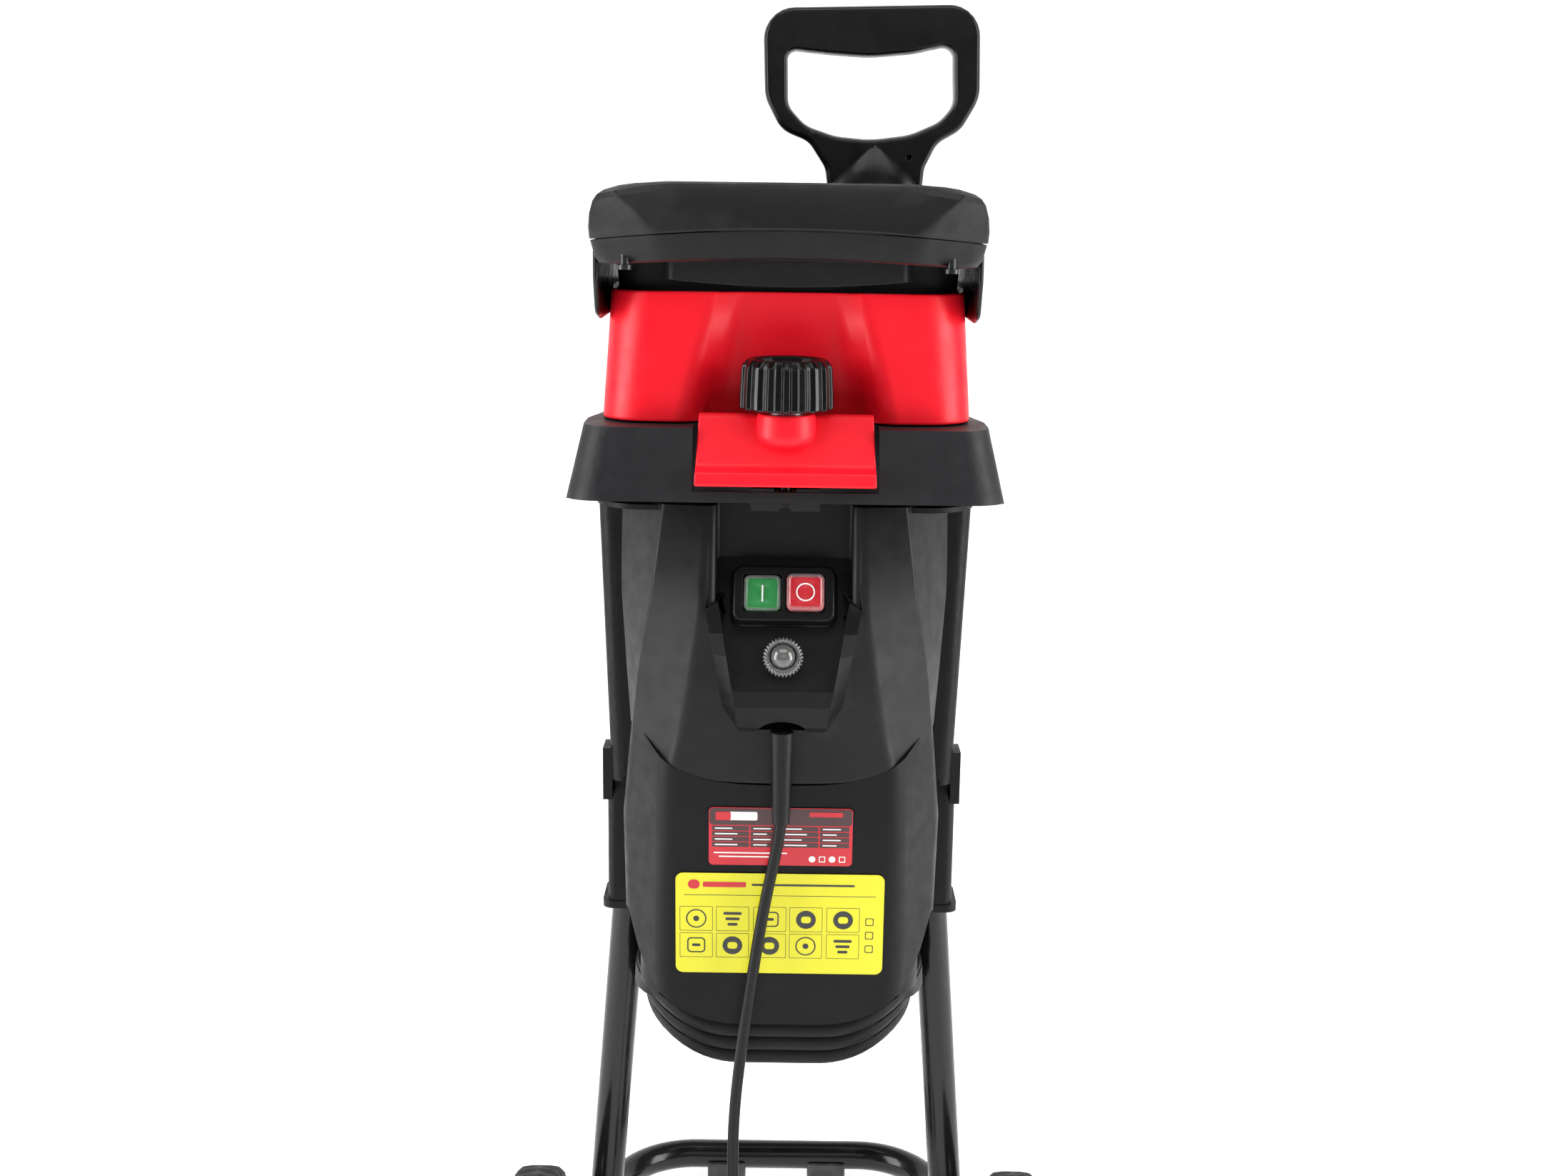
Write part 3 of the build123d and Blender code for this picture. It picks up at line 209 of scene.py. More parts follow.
def surface(name, colour, rough, metallic=0.0, mottle=0.12, grain=900.0, bump=0.12, depth=0.0003, edge_wear_and_sheen=0.5,
            coat=0.0, stretch=None, specular=0.5, dust=0.0):
    """Moulded or painted surface: mottled colour, uneven gloss, grain, and lighter edges that are partly wear and
    partly a painted highlight.
    """
    look, nodes, links, shader = node_tree(name)
    place = nodes.new("ShaderNodeTexCoord").outputs["Object"]
    cloudy = noise_node(nodes, links, place, 14.0, 5.0)
    fine = noise_node(nodes, links, place, grain, 3.0, stretch)
    blotch = noise_node(nodes, links, place, 90.0, 6.0)

    dark = tuple(c * (1 - mottle) for c in colour)
    light = tuple(min(1.0, c * (1 + mottle) + 0.002) for c in colour)
    base = ramp_node(nodes, links, cloudy, dark, light)

    # Edges lightened by pointiness and broken up by noise: partly edge wear, partly a painted highlight along the
    # bevels.
    edge = nodes.new("ShaderNodeNewGeometry").outputs["Pointiness"]
    edge_mask = ramp_node(nodes, links, edge, 0.0, 1.0, 0.515, 0.60)
    broken = nodes.new("ShaderNodeMath")
    broken.operation = "MULTIPLY"
    links.new(edge_mask, broken.inputs[0])
    links.new(blotch, broken.inputs[1])
    amount = nodes.new("ShaderNodeMath")
    amount.operation = "MULTIPLY"
    amount.inputs[1].default_value = edge_wear_and_sheen
    links.new(broken.outputs[0], amount.inputs[0])
    worn_and_highlit_edge = nodes.new("ShaderNodeMix")
    worn_and_highlit_edge.data_type = "RGBA"
    links.new(amount.outputs[0], worn_and_highlit_edge.inputs["Factor"])
    links.new(base, worn_and_highlit_edge.inputs["A"])
    worn_and_highlit_edge.inputs["B"].default_value = (*(min(1.0, c * 1.6 + 0.022) for c in colour), 1)
    colour_out = worn_and_highlit_edge.outputs["Result"]
    if dust:
        film = nodes.new("ShaderNodeMix")
        film.data_type = "RGBA"
        links.new(ramp_node(nodes, links, blotch, 0.0, dust, 0.45, 0.8), film.inputs["Factor"])
        links.new(colour_out, film.inputs["A"])
        film.inputs["B"].default_value = (0.30, 0.28, 0.25, 1)
        colour_out = film.outputs["Result"]
    links.new(colour_out, shader.inputs["Base Color"])

    gloss = ramp_node(nodes, links, blotch, max(0.02, rough - 0.07), min(1.0, rough + 0.08))
    links.new(gloss, shader.inputs["Roughness"])
    relief = nodes.new("ShaderNodeBump")
    relief.inputs["Strength"].default_value = bump
    relief.inputs["Distance"].default_value = depth
    links.new(fine, relief.inputs["Height"])
    links.new(relief.outputs["Normal"], shader.inputs["Normal"])
    shader.inputs["Metallic"].default_value = metallic
    shader.inputs["Specular IOR Level"].default_value = specular
    shader.inputs["Coat Weight"].default_value = coat
    shader.inputs["Coat Roughness"].default_value = 0.12
    return look


def clear_plastic(name, tint, rough=0.08, clearness=0.9, coat=0.0):
    """Clear moulded plastic with faint haze."""
    look, nodes, links, shader = node_tree(name)
    place = nodes.new("ShaderNodeTexCoord").outputs["Object"]
    haze = noise_node(nodes, links, place, 220.0, 4.0)
    links.new(ramp_node(nodes, links, haze, rough, rough + 0.12), shader.inputs["Roughness"])
    links.new(ramp_node(nodes, links, haze, tuple(c * 0.92 for c in tint), tint), shader.inputs["Base Color"])
    shader.inputs["Transmission Weight"].default_value = clearness
    shader.inputs["Coat Weight"].default_value = coat
    shader.inputs["IOR"].default_value = 1.3
    relief = nodes.new("ShaderNodeBump")
    relief.inputs["Strength"].default_value = 0.05
    relief.inputs["Distance"].default_value = 0.0003
    links.new(haze, relief.inputs["Height"])
    links.new(relief.outputs["Normal"], shader.inputs["Normal"])
    return look


BLACK_SHELL = surface("moulded black", (0.0052, 0.0055, 0.0066), 0.44, grain=1500, bump=0.20, edge_wear_and_sheen=0.35, mottle=0.10,
                      specular=0.22)
COLLAR_BLACK = surface("collar black", (0.0085, 0.0088, 0.0102), 0.50, grain=1200, bump=0.26, edge_wear_and_sheen=0.4, mottle=0.10,
                       specular=0.25)
RIM_BLACK = surface("grained black", (0.006, 0.0062, 0.0072), 0.52, grain=1000, bump=0.34, edge_wear_and_sheen=0.4, mottle=0.10,
                    specular=0.18)
REAR_BLACK = surface("rear shell black", (0.0035, 0.0037, 0.0044), 0.44, grain=1500, bump=0.22, edge_wear_and_sheen=0.35,
                     specular=0.15)
RED_SHELL = surface("moulded red", (0.88, 0.005, 0.018), 0.38, grain=700, bump=0.05, mottle=0.04, edge_wear_and_sheen=0.25,
                    specular=0.26)
LATCH_RED = surface("latch red", (0.86, 0.005, 0.018), 0.42, grain=1100, bump=0.12, mottle=0.04, edge_wear_and_sheen=0.25,
                    specular=0.26)
GLOSS_BLACK = surface("polished black", (0.003, 0.003, 0.0035), 0.27, grain=500, bump=0.03, edge_wear_and_sheen=0.2, specular=0.22)
KNOB_BLACK = surface("knob black", (0.0025, 0.0025, 0.003), 0.20, grain=500, bump=0.03, edge_wear_and_sheen=0.05, specular=0.28)
TUBE_PAINT = surface("gloss powder coat", (0.003, 0.003, 0.0035), 0.22, grain=420, bump=0.10, depth=0.0002, coat=0.25,
                     edge_wear_and_sheen=0.2, specular=0.20)
CONSOLE_BLACK = surface("console black", (0.0036, 0.0037, 0.0042), 0.42, grain=1600, bump=0.15, edge_wear_and_sheen=0.3,
                        specular=0.15)
SWITCH_BLACK = surface("switch black", (0.003, 0.003, 0.0033), 0.33, grain=1300, bump=0.10, edge_wear_and_sheen=0.2, specular=0.15)
RUBBER = surface("rubber", (0.012, 0.012, 0.012), 0.62, grain=1300, bump=0.3, edge_wear_and_sheen=0.3, dust=0.12)
CORD_RUBBER = surface("cord sheath", (0.0045, 0.0045, 0.005), 0.38, grain=700, bump=0.08, edge_wear_and_sheen=0.1, specular=0.2)
TYRE_RUBBER = surface("tyre rubber", (0.014, 0.014, 0.014), 0.72, grain=900, bump=0.4, edge_wear_and_sheen=0.4, dust=0.25)
HUB_PLASTIC = surface("hub plastic", (0.020, 0.020, 0.022), 0.45, grain=1200, bump=0.2, edge_wear_and_sheen=0.4)
ZINC = surface("zinc plate", (0.55, 0.55, 0.56), 0.33, metallic=1.0, grain=700, bump=0.12, edge_wear_and_sheen=0.2, mottle=0.1)
DARK_SCREW = surface("blackened screw", (0.045, 0.045, 0.048), 0.38, metallic=1.0, grain=700, bump=0.12, edge_wear_and_sheen=0.5)
MACHINED = surface("machined steel", (0.42, 0.42, 0.43), 0.30, metallic=1.0, grain=350, bump=0.25, edge_wear_and_sheen=0.4,
                   stretch=(1.0, 1.0, 14.0))
DISC_STEEL = surface("disc steel", (0.50, 0.50, 0.52), 0.34, metallic=1.0, grain=300, bump=0.3, edge_wear_and_sheen=0.4,
                     stretch=(9.0, 1.0, 1.0))
LAMINATED = surface("laminated core", (0.20, 0.20, 0.22), 0.5, metallic=1.0, grain=260, bump=0.6, edge_wear_and_sheen=0.1,
                    stretch=(0.05, 0.05, 6.0))
CAST_ALLOY = surface("cast alloy", (0.52, 0.53, 0.55), 0.45, metallic=1.0, grain=900, bump=0.5, edge_wear_and_sheen=0.3)
COPPER = surface("lacquered copper", (0.55, 0.22, 0.09), 0.32, metallic=1.0, grain=300, bump=0.6, edge_wear_and_sheen=0.1,
                 stretch=(0.2, 0.2, 5.0))
BRASS = surface("turned brass", (0.62, 0.43, 0.16), 0.30, metallic=1.0, grain=500, bump=0.2, edge_wear_and_sheen=0.3)
GREEN_KEY = surface("green key", (0.010, 0.22, 0.045), 0.30, grain=500, bump=0.03, mottle=0.08, edge_wear_and_sheen=0.2, coat=0.6)
RED_KEY = surface("red key", (0.50, 0.008, 0.020), 0.28, grain=500, bump=0.03, mottle=0.08, edge_wear_and_sheen=0.2, coat=0.6)
PRINT_WHITE = surface("white print", (0.80, 0.80, 0.78), 0.5, grain=900, bump=0.05, mottle=0.04, edge_wear_and_sheen=0.0)
PRINT_BLACK = surface("black print", (0.015, 0.015, 0.015), 0.4, grain=900, bump=0.05, mottle=0.05, edge_wear_and_sheen=0.0)
FILM_YELLOW = surface("yellow film", (0.64, 0.60, 0.008), 0.38, grain=600, bump=0.05, mottle=0.03, edge_wear_and_sheen=0.0)
FILM_RED = surface("red film", (0.50, 0.008, 0.018), 0.35, grain=600, bump=0.05, mottle=0.05, edge_wear_and_sheen=0.0)
FILM_DARK = surface("dark film", (0.05, 0.016, 0.018), 0.35, grain=600, bump=0.05, mottle=0.1, edge_wear_and_sheen=0.0)
CLEAR = clear_plastic("clear cap", (0.93, 0.94, 0.94))
# Clear plastic with a dark grey tint so that the breaker nut and dome read dark inside: painted shade on clear parts.
CLEAR_WITH_PAINTED_SHADE = clear_plastic("clear nut", (0.22, 0.23, 0.22), 0.02, 0.6, 1.0)

CAD_LOOKS = {
    TUBE_PAINT: ("base_loop", "leg_left", "leg_right"),
    REAR_BLACK: ("rear_housing", "discharge_chute", "leg_sockets", "bag_hooks", "bottom_cap",
                 "chamber_floor"),
    BLACK_SHELL: ("front_cover", "lower_cover"),
    CONSOLE_BLACK: ("switch_console",),
    COLLAR_BLACK: ("collar",),
    RED_SHELL: ("red_housing",),
    LATCH_RED: ("latch_plate",),
    RIM_BLACK: ("hopper_funnel", "rim_upper", "rim_lower"),
    GLOSS_BLACK: ("plunger",),
    KNOB_BLACK: ("knob", "reset_button"),
    ZINC: ("axle", "hinge_pin", "knob_washer", "disc_fasteners"),
    DARK_SCREW: ("housing_fasteners", "lock_screw", "rim_screws"),
    MACHINED: ("spindle", "armature_shaft", "gear_wheel", "bearings"),
    DISC_STEEL: ("cutter_disc", "blades"),
    LAMINATED: ("stator_core", "armature_core"),
    CAST_ALLOY: ("gear_case", "motor_plate"),
    COPPER: ("field_windings",),
    BRASS: ("lock_nut",),
    RUBBER: ("rubber_feet",),
    CORD_RUBBER: ("cord", "cord_boot", "plug"),
    TYRE_RUBBER: ("tyre_left", "tyre_right"),
    HUB_PLASTIC: ("wheel_hub_left", "wheel_hub_right", "axle_fittings"),
    SWITCH_BLACK: ("switch_body", "breaker_body", "brush_gear", "cooling_fan", "interlock_switch",
                   "interlock_plunger"),
    GREEN_KEY: ("start_button",),
    RED_KEY: ("stop_button",),
    CLEAR: ("breaker_ring",),
    FILM_RED: ("rating_label",),
    FILM_YELLOW: ("notice_label",),
}
CAD_EDGES = {"switch_console": 0.8, "collar": 1.0, "discharge_chute": 0.9, "rear_housing": 0.9, "leg_sockets": 1.0,
             "bag_hooks": 0.7, "wheel_hub_left": 0.7, "wheel_hub_right": 0.7, "gear_case": 0.8, "cord_boot": 0.6}
for look, nodes_with_it in CAD_LOOKS.items():
    for node_name in nodes_with_it:
        cad = bpy.data.objects[node_name]
        cad.data.materials.clear()
        cad.data.materials.append(look)
        soften(cad, CAD_EDGES.get(node_name, 0), angle=35)


# ------------------------------------------------------------------ stage, light and camera
def build_stage():
    """Pale floor with a soft sweep up to the backdrop."""
    profile = [(-2.4, 0.0), (3.0, 0.0), (3.8, 0.12), (4.5, 0.6), (4.8, 1.6), (4.8, 6.0)]
    rings = [[(x / MM, y / MM, z / MM) for y, z in profile] for x in (-7.0, 7.0)]
    verts, faces = loft(rings, closed=False, caps=(False, False))
    floor = mesh_object("stage_floor", verts, faces)
    for polygon in floor.data.polygons:
        polygon.use_smooth = True
    white = surface("stage white", (0.82, 0.82, 0.82), 0.8, grain=60, bump=0.02, mottle=0.01, edge_wear_and_sheen=0.0)
    glow = white.node_tree.nodes["Principled BSDF"]
    glow.inputs["Emission Color"].default_value = (1.0, 1.0, 1.0, 1)
    glow.inputs["Emission Strength"].default_value = 0.75
    floor.data.materials.append(white)


def area_light(name, place, target, size, power):
    """Soft rectangular light aimed at a point."""
    lamp = bpy.data.lights.new(name, "AREA")
    lamp.shape = "RECTANGLE"
    lamp.size = size[0]
    lamp.size_y = size[1]
    lamp.energy = power
    holder = bpy.data.objects.new(name, lamp)
    bpy.context.scene.collection.objects.link(holder)
    holder.location = place
    holder.rotation_euler = (Vector(target) - Vector(place)).to_track_quat("-Z", "Y").to_euler()


def build_lights():
    """Even studio light: two big side boxes, a top box and a bright surround."""
    middle = (0.0, 0.0, 0.55)
    area_light("side_left", (-1.7, -0.55, 0.95), middle, (0.9, 1.8), 42)
    area_light("side_right", (1.7, -0.55, 0.9), middle, (0.9, 1.8), 42)
    area_light("top_box", (0.0, -0.5, 2.3), middle, (1.8, 1.2), 24)
    area_light("front_fill", (0.3, -2.6, 1.7), middle, (1.6, 1.0), 5)
    world = bpy.data.worlds.new("studio")
    bpy.context.scene.world = world
    world.use_nodes = True
    world.node_tree.nodes["Background"].inputs["Color"].default_value = (1.0, 1.0, 1.0, 1)
    nodes, links = world.node_tree.nodes, world.node_tree.links
    strength = nodes.new("ShaderNodeMapRange")
    strength.inputs["To Min"].default_value = 0.20
    strength.inputs["To Max"].default_value = 1.0
    links.new(nodes.new("ShaderNodeLightPath").outputs["Is Camera Ray"], strength.inputs["Value"])
    links.new(strength.outputs["Result"], nodes["Background"].inputs["Strength"])


def build_camera():
    """Camera at the reference viewing angle, a little above the switch and looking down."""
    pitch = math.radians(12.0)
    roll = math.radians(0.77)
    eye = Vector((0.0, -1.186, 0.784))
    camera = bpy.data.cameras.new("camera")
    camera.lens = 43.1
    camera.sensor_width = 36.0
    holder = bpy.data.objects.new("camera", camera)
    bpy.context.scene.collection.objects.link(holder)
    tilt = Matrix.Rotation(math.radians(90.0) - pitch, 4, "X")
    spin = Matrix.Rotation(roll, 4, "Z")
    holder.matrix_world = Matrix.Translation(eye) @ tilt @ spin
    bpy.context.scene.camera = holder


# >>> PIECES

# ------------------------------------------------------------------ body shells
def dense(points, spacing_source, spacing=9.0):
    """Subdivide the long spans of a line, counting from a reference line."""
    result = []
    for index in range(len(points) - 1):
        start, end = Vector(points[index]), Vector(points[index + 1])
        span = (Vector(spacing_source[index + 1]) - Vector(spacing_source[index])).length
        count = max(1, round(span / spacing))
        result += [tuple(start.lerp(end, step / count)) for step in range(count)]
    return result + [tuple(points[-1])]


def circle_angles(count):
    """Evenly spaced angles round a circle."""
    return [2 * math.pi * step / count for step in range(count)]


def mirrored(right_side):
    """Open outline from the left end round the front to the right end."""
    return [(-x, y, r) for x, y, r in reversed(right_side)] + list(right_side)


def parting_height(x):
    """Smile-shaped joint between the two front covers."""
    return 438.0 + 28.0 * min(1.0, abs(x) / 91.0) ** 3


def rounded_bottom(x):
    """Lower edge of the front covers: straight in the middle, large round corners."""
    reach = min(71.5, max(0.0, abs(x) - 24.0))
    return 280.0 + 72.0 - math.sqrt(72.0 ** 2 - reach ** 2)


def cover_strip(name, corners_at, bottom_at, top_at, rows, reference_height):
    """Bent shell whose columns run between two curved edges."""
    reference = rounded_loop(mirrored(corners_at(reference_height)), 5, closed=False)

    def section(height):
        line = rounded_loop(mirrored(corners_at(height)), 5, closed=False)
        return dense(line, reference)

    bottoms = [bottom_at(x) for x, y in section(reference_height)]
    tops = [top_at(x) for x, y in section(reference_height)]
    rings = []
    for share in rows:
        ring = []
        for column, (low, high) in enumerate(zip(bottoms, tops)):
            height = low + (high - low) * share
            x, y = section(height)[column]
            ring.append((x, y, height))
        rings.append(ring)
    return mesh_object(name, *loft(rings, closed=False, caps=(False, False)))


FRONT_STATIONS = (
    # height, crease x and y, chamfer x and y, flank x and y, back x
    (438.0, 68.0, -120.0, 90.2, -90.5, 91.6, -86.5, 92.0),
    (466.0, 61.0, -122.0, 90.6, -91.0, 92.0, -86.0, 92.3),
    (500.0, 54.5, -126.0, 86.5, -103.5, 95.0, -80.0, 95.4),
    (545.0, 48.0, -128.5, 79.0, -112.0, 98.6, -71.0, 99.0),
    (570.0, 48.0, -121.5, 75.5, -112.0, 98.9, -66.0, 99.0),
    (604.0, 47.0, -114.0, 71.0, -110.0, 98.4, -62.0, 98.6),
)


def front_corners(height):
    """Right half of a front cover section, from the nose to the back edge."""
    crease_x, crease_y, bevel_x, bevel_y, flank_x, flank_y, back_x = blend_value(FRONT_STATIONS, height)
    return [(crease_x, crease_y, 11.0), (bevel_x, bevel_y, 3.2), (flank_x, flank_y, 3.5), (back_x, -44.0, 0)]


CONSOLE_OUTER = ((472.6, 25.8), (487.0, 35.1), (497.0, 36.9), (546.0, 45.4), (550.0, 38.8), (550.4, 41.8),
                 (585.0, 41.8))                    # height, half width over the side arms
CONSOLE_INNER = ((472.6, 25.2), (474.0, 26.3), (496.0, 28.8), (550.0, 38.3), (550.4, 41.4), (585.0, 41.4))
CONSOLE_FACE = ((472.6, -126.5), (476.0, -130.5), (490.0, -137.6), (500.0, -138.6), (550.0, -112.0), (585.0, -93.4))

CONSOLE_LIP = ((472.6, -126.5), (476.0, -130.8), (490.0, -138.2), (500.0, -139.6), (550.0, -123.5))


def build_console():
    """Switch console: leaning panel between two bevelled arms, cord mouth below."""
    rings = []
    for height in (472.6, 474.0, 476.0, 487.0, 490.0, 497.0, 500.0, 508.0, 519.0, 532.0, 546.0, 550.0, 550.4, 585.0):
        outer_x, = blend_value(CONSOLE_OUTER, height)
        inner_x, = blend_value(CONSOLE_INNER, height)
        face_y, = blend_value(CONSOLE_FACE, height)
        cover_y = blend_value(FRONT_STATIONS, height)[1] - 0.4 if height <= 550.0 else face_y
        lip_y = min(face_y, blend_value(CONSOLE_LIP, height)[0]) if height <= 550.0 else face_y
        right = [(inner_x - 0.5, face_y), (inner_x, lip_y), (outer_x, cover_y), (outer_x, cover_y + 5.0)]
        rings.append([(-x, y, height) for x, y in reversed(right)] + [(x, y, height) for x, y in right])
    console = mesh_object("console_panel", *loft(rings, closed=False, caps=(False, False)))
    thicken(console, 2.2)
    apply_modifiers(console)
    arch = [(14.6 * math.cos(a), 472.0 + 8.2 * math.sin(a)) for a in circle_angles(48)]
    boolean(console, mesh_object("cut", *loft([[(x, y, z) for x, z in arch] for y in (-150.0, -118.0)])))
    lean = math.radians(28.0)
    window = []
    for depth in (-6.0, 6.0):
        window.append([(x, -112.0 + up * math.sin(lean) - depth * math.cos(lean),
                        550.0 + up * math.cos(lean) + depth * math.sin(lean))
                       for x, up in rounded_loop([(-25.5, -13.5, 2), (25.5, -13.5, 2), (25.5, 13.5, 2),
                                                  (-25.5, 13.5, 2)])])
    boolean(console, mesh_object("cut", *loft(window)))
    soften(console, 0.45, angle=20)
    fit(console, "chassis", "housing_black", CONSOLE_BLACK, "switch_console")


def build_front_cover():
    """Upper front cover: creased nose, long tapering side facets, console recess."""
    rows = [0.0, 0.012, 0.03] + [0.03 + 0.97 * step / 22 for step in range(1, 23)]
    shell = cover_strip("front_cover_skin", front_corners, lambda x: parting_height(x) + 0.7, lambda x: 604.0,
                        rows, 500.0)
    thicken(shell, 3.0)
    apply_modifiers(shell)
    boolean(shell, block("cut", (-42, -170, 545), (42, -60, 640)))
    edge = [(43.0, 560.0)] + [(x - 0.1, z) for z, x in reversed(CONSOLE_OUTER) if z <= 546.0]
    console_outline = [(-x, z) for x, z in edge] + [(x, z) for x, z in reversed(edge)]
    rings = [[(x, y, z) for x, z in console_outline] for y in (-175, -100)]
    boolean(shell, mesh_object("cut", *loft(rings)))
    soften(shell, 0.7)
    fit(shell, "chassis", "housing_black", BLACK_SHELL, "front_cover")

    liner = [(-44.5, -119, 2), (-42, -119, 1), (-42, -98, 4), (42, -98, 4), (42, -119, 1), (44.5, -119, 2)]
    rings = []
    for height in (540.0, 562.0, 575.0, 604.0):
        front = -min(127.0, 113.0 + (604.0 - height) * 0.25) + 2.0
        line = rounded_loop([(x, front if y == -119 else y, r) for x, y, r in liner], 4, closed=False)
        rings.append([(x, y, height) for x, y in line])
    wall = mesh_object("console_recess_liner", *loft(rings, closed=False, caps=(False, False)))
    thicken(wall, 2.4, 1.0)
    apply_modifiers(wall)
    soften(wall, 0.5)
    fit(wall, "chassis", "housing_black", BLACK_SHELL, "front_cover")


LOWER_STATIONS = (
    (270.0, 70.0, -109.0, 92.5, -80.0, 93.5),
    (330.0, 72.0, -112.5, 96.0, -80.0, 96.5),
    (405.0, 71.0, -118.0, 98.0, -76.0, 98.0),
    (440.0, 70.0, -120.5, 94.5, -82.0, 95.0),
    (466.0, 68.0, -121.5, 91.8, -86.0, 92.2),
)


def lower_corners(height):
    """Right half of a lower cover section, returning inwards at the back."""
    nose_x, nose_y, flank_x, flank_y, back_x = blend_value(LOWER_STATIONS, height)
    return [(nose_x, nose_y, 16.0), (flank_x, flank_y, 20.0), (back_x, -28.6, 1.5), (81.5, -28.6, 0)]


def build_lower_cover():
    """Lower front cover with its parting edge, rolled bottom edge and rear return."""
    rows = [0.0, 0.01, 0.025] + [0.025 + 0.955 * step / 16 for step in range(1, 17)] + [0.992, 1.0]
    shell = cover_strip("lower_cover_skin", lower_corners, rounded_bottom, lambda x: parting_height(x) - 0.5,
                        rows, 400.0)
    thicken(shell, 3.0)
    apply_modifiers(shell)
    soften(shell, 0.9)
    fit(shell, "chassis", "housing_black", REAR_BLACK, "lower_cover")


def build_bottom_cap():
    """Three rounded steps under the covers, each smaller and lower than the last."""
    def plan_ring(half, front, rear, height, front_r=58, sag=True):
        def outline(half, front, rear, front_r):
            corners = [(-half, rear, 26), (-half, front, front_r), (half, front, front_r), (half, rear, 26)]
            line = rounded_loop(corners, 14)
            return line + line[:1]

        line = dense(outline(half, front, rear, front_r), outline(90.0, -103.0, 64.0, 58), 10.0)[:-1]
        return [(x, y, height + (22.0 * max(0.0, (abs(x) - 22.0) / 68.0) ** 2.2 if sag else 0.0)) for x, y in line]

    rings = [plan_ring(80, -92, 58, 304, sag=False), plan_ring(90.5, -103, 64, 290, sag=False)]
    for tier in range(3):
        half, front, rear, floor = 91.5 - 2.6 * tier, -105.5 + 4.6 * tier, 65.0 - 4 * tier, 268.0 - 11.0 * tier
        rings.append(plan_ring(half - 1.4, front + 1.6, rear - 1, floor + 10.2))
        rings.append(plan_ring(half - 0.3, front + 0.4, rear, floor + 8.8))
        rings.append(plan_ring(half, front, rear, floor + 5.5))
        rings.append(plan_ring(half - 0.9, front + 0.9, rear, floor + 2.4))
        rings.append(plan_ring(half - 2.4, front + 2.6, rear - 2, floor + 0.6))
        rings.append(plan_ring(half - 4.6, front + 5.0, rear - 4, floor))
    rings.append(plan_ring(76, -76, 50, 246.5))
    rings.append(plan_ring(60, -60, 40, 249, 45))
    rings.append(plan_ring(46, -44, 26, 249, 40))
    cap = mesh_object("bottom_cap_tiers", *loft(rings, caps=(False, True)))
    thicken(cap, 2.4)
    apply_modifiers(cap)
    soften(cap, 0.4, angle=50)
    fit(cap, "chassis", "housing_black", REAR_BLACK, "bottom_cap")

    spigot = rounded_loop([(-88.0, -31.0, 0), (-88.0, -98.0, 46), (88.0, -98.0, 46), (88.0, -31.0, 0)], 10, closed=False)
    rings = [[(x, y, height) for x, y in spigot] for height in (292.0, 325.0, 362.0)]
    wall = mesh_object("bottom_cap_spigot", *loft(rings, closed=False, caps=(False, False)))
    thicken(wall, 2.4)
    apply_modifiers(wall)
    soften(wall, 0.5)
    fit(wall, "chassis", "housing_black", REAR_BLACK, "bottom_cap")


build_front_cover()
build_console()
build_lower_cover()
build_bottom_cap()

# ------------------------------------------------------------------ hopper
RED_STATIONS = (
    # height, half width, flank front y, nose y, channel mouth x, channel floor x, channel floor y
    (652.0, 111.8, -70.0, -112.0, 57.0, 43.0, -87.5),
    (662.0, 111.2, -70.0, -111.0, 56.0, 42.0, -87.5),
    (690.0, 109.4, -68.0, -106.0, 51.0, 36.0, -89.0),
    (715.0, 107.9, -66.0, -101.5, 46.0, 29.0, -91.5),
    (726.0, 107.2, -66.0, -100.0, 44.5, 26.0, -93.0),
)


def red_ring(height, rear=101.0):
    """Plan of the red housing: round corners, two bulging lobes and a soft channel between them."""
    half, flank_y, nose_y, mouth_x, floor_x, floor_y = blend_value(RED_STATIONS, height)
    right = [(floor_x, floor_y, 15.0), (mouth_x, nose_y + 0.5, 14.0), (half - 6.0, nose_y + 3.0, 30.0), (half, -30, 20),
             (half, rear - 34, 30), (half - 34, rear, 30)]
    line = rounded_loop(mirrored(right), 8, closed=False)
    corners = mirrored(right)
    closed_line = rounded_loop(corners, 8)
    return closed_line


def build_red_housing():
    """Red hopper housing with a rolled top edge, hinge lugs behind."""
    heights = [652.0, 652.6, 654.0] + [654.0 + 70.0 * step / 10 for step in range(1, 11)] + [725.3, 726.0]
    reference = red_ring(690.0)
    rings = []
    for height in heights:
        rear = 108.0 - 8.0 * (height - 652.0) / 74.0
        line = red_ring(height, rear)
        line = dense(line + line[:1], reference + reference[:1], 8.0)[:-1]
        edge = 0.8 if height in (652.0, 726.0) else (0.25 if height in (652.6, 725.3) else 0.0)
        rings.append([(x * (1 - edge / 100), y * (1 - edge / 100), height) for x, y in line])
    shell = mesh_object("red_housing_shell", *loft(rings, caps=(False, False)))
    thicken(shell, 3.0)
    apply_modifiers(shell)
    soften(shell, 0)
    fit(shell, "hopper", "red_shell", RED_SHELL, "red_housing")

    for side in (-1, 1):
        outline = [(103, 655, 2), (120, 655, 7), (127, 662, 7), (120, 669.5, 7), (103, 675, 2)]
        line = rounded_loop(outline, 6)
        x = side * 33.0
        rings = [[(x + dx, y, z) for y, z in line] for dx in (-12, 12)]
        lug = mesh_object("hinge_lug_" + ("left" if side < 0 else "right"), *loft(rings))
        soften(lug, 0.8)
        fit(lug, "hopper", "red_shell", RED_SHELL, "red_housing")


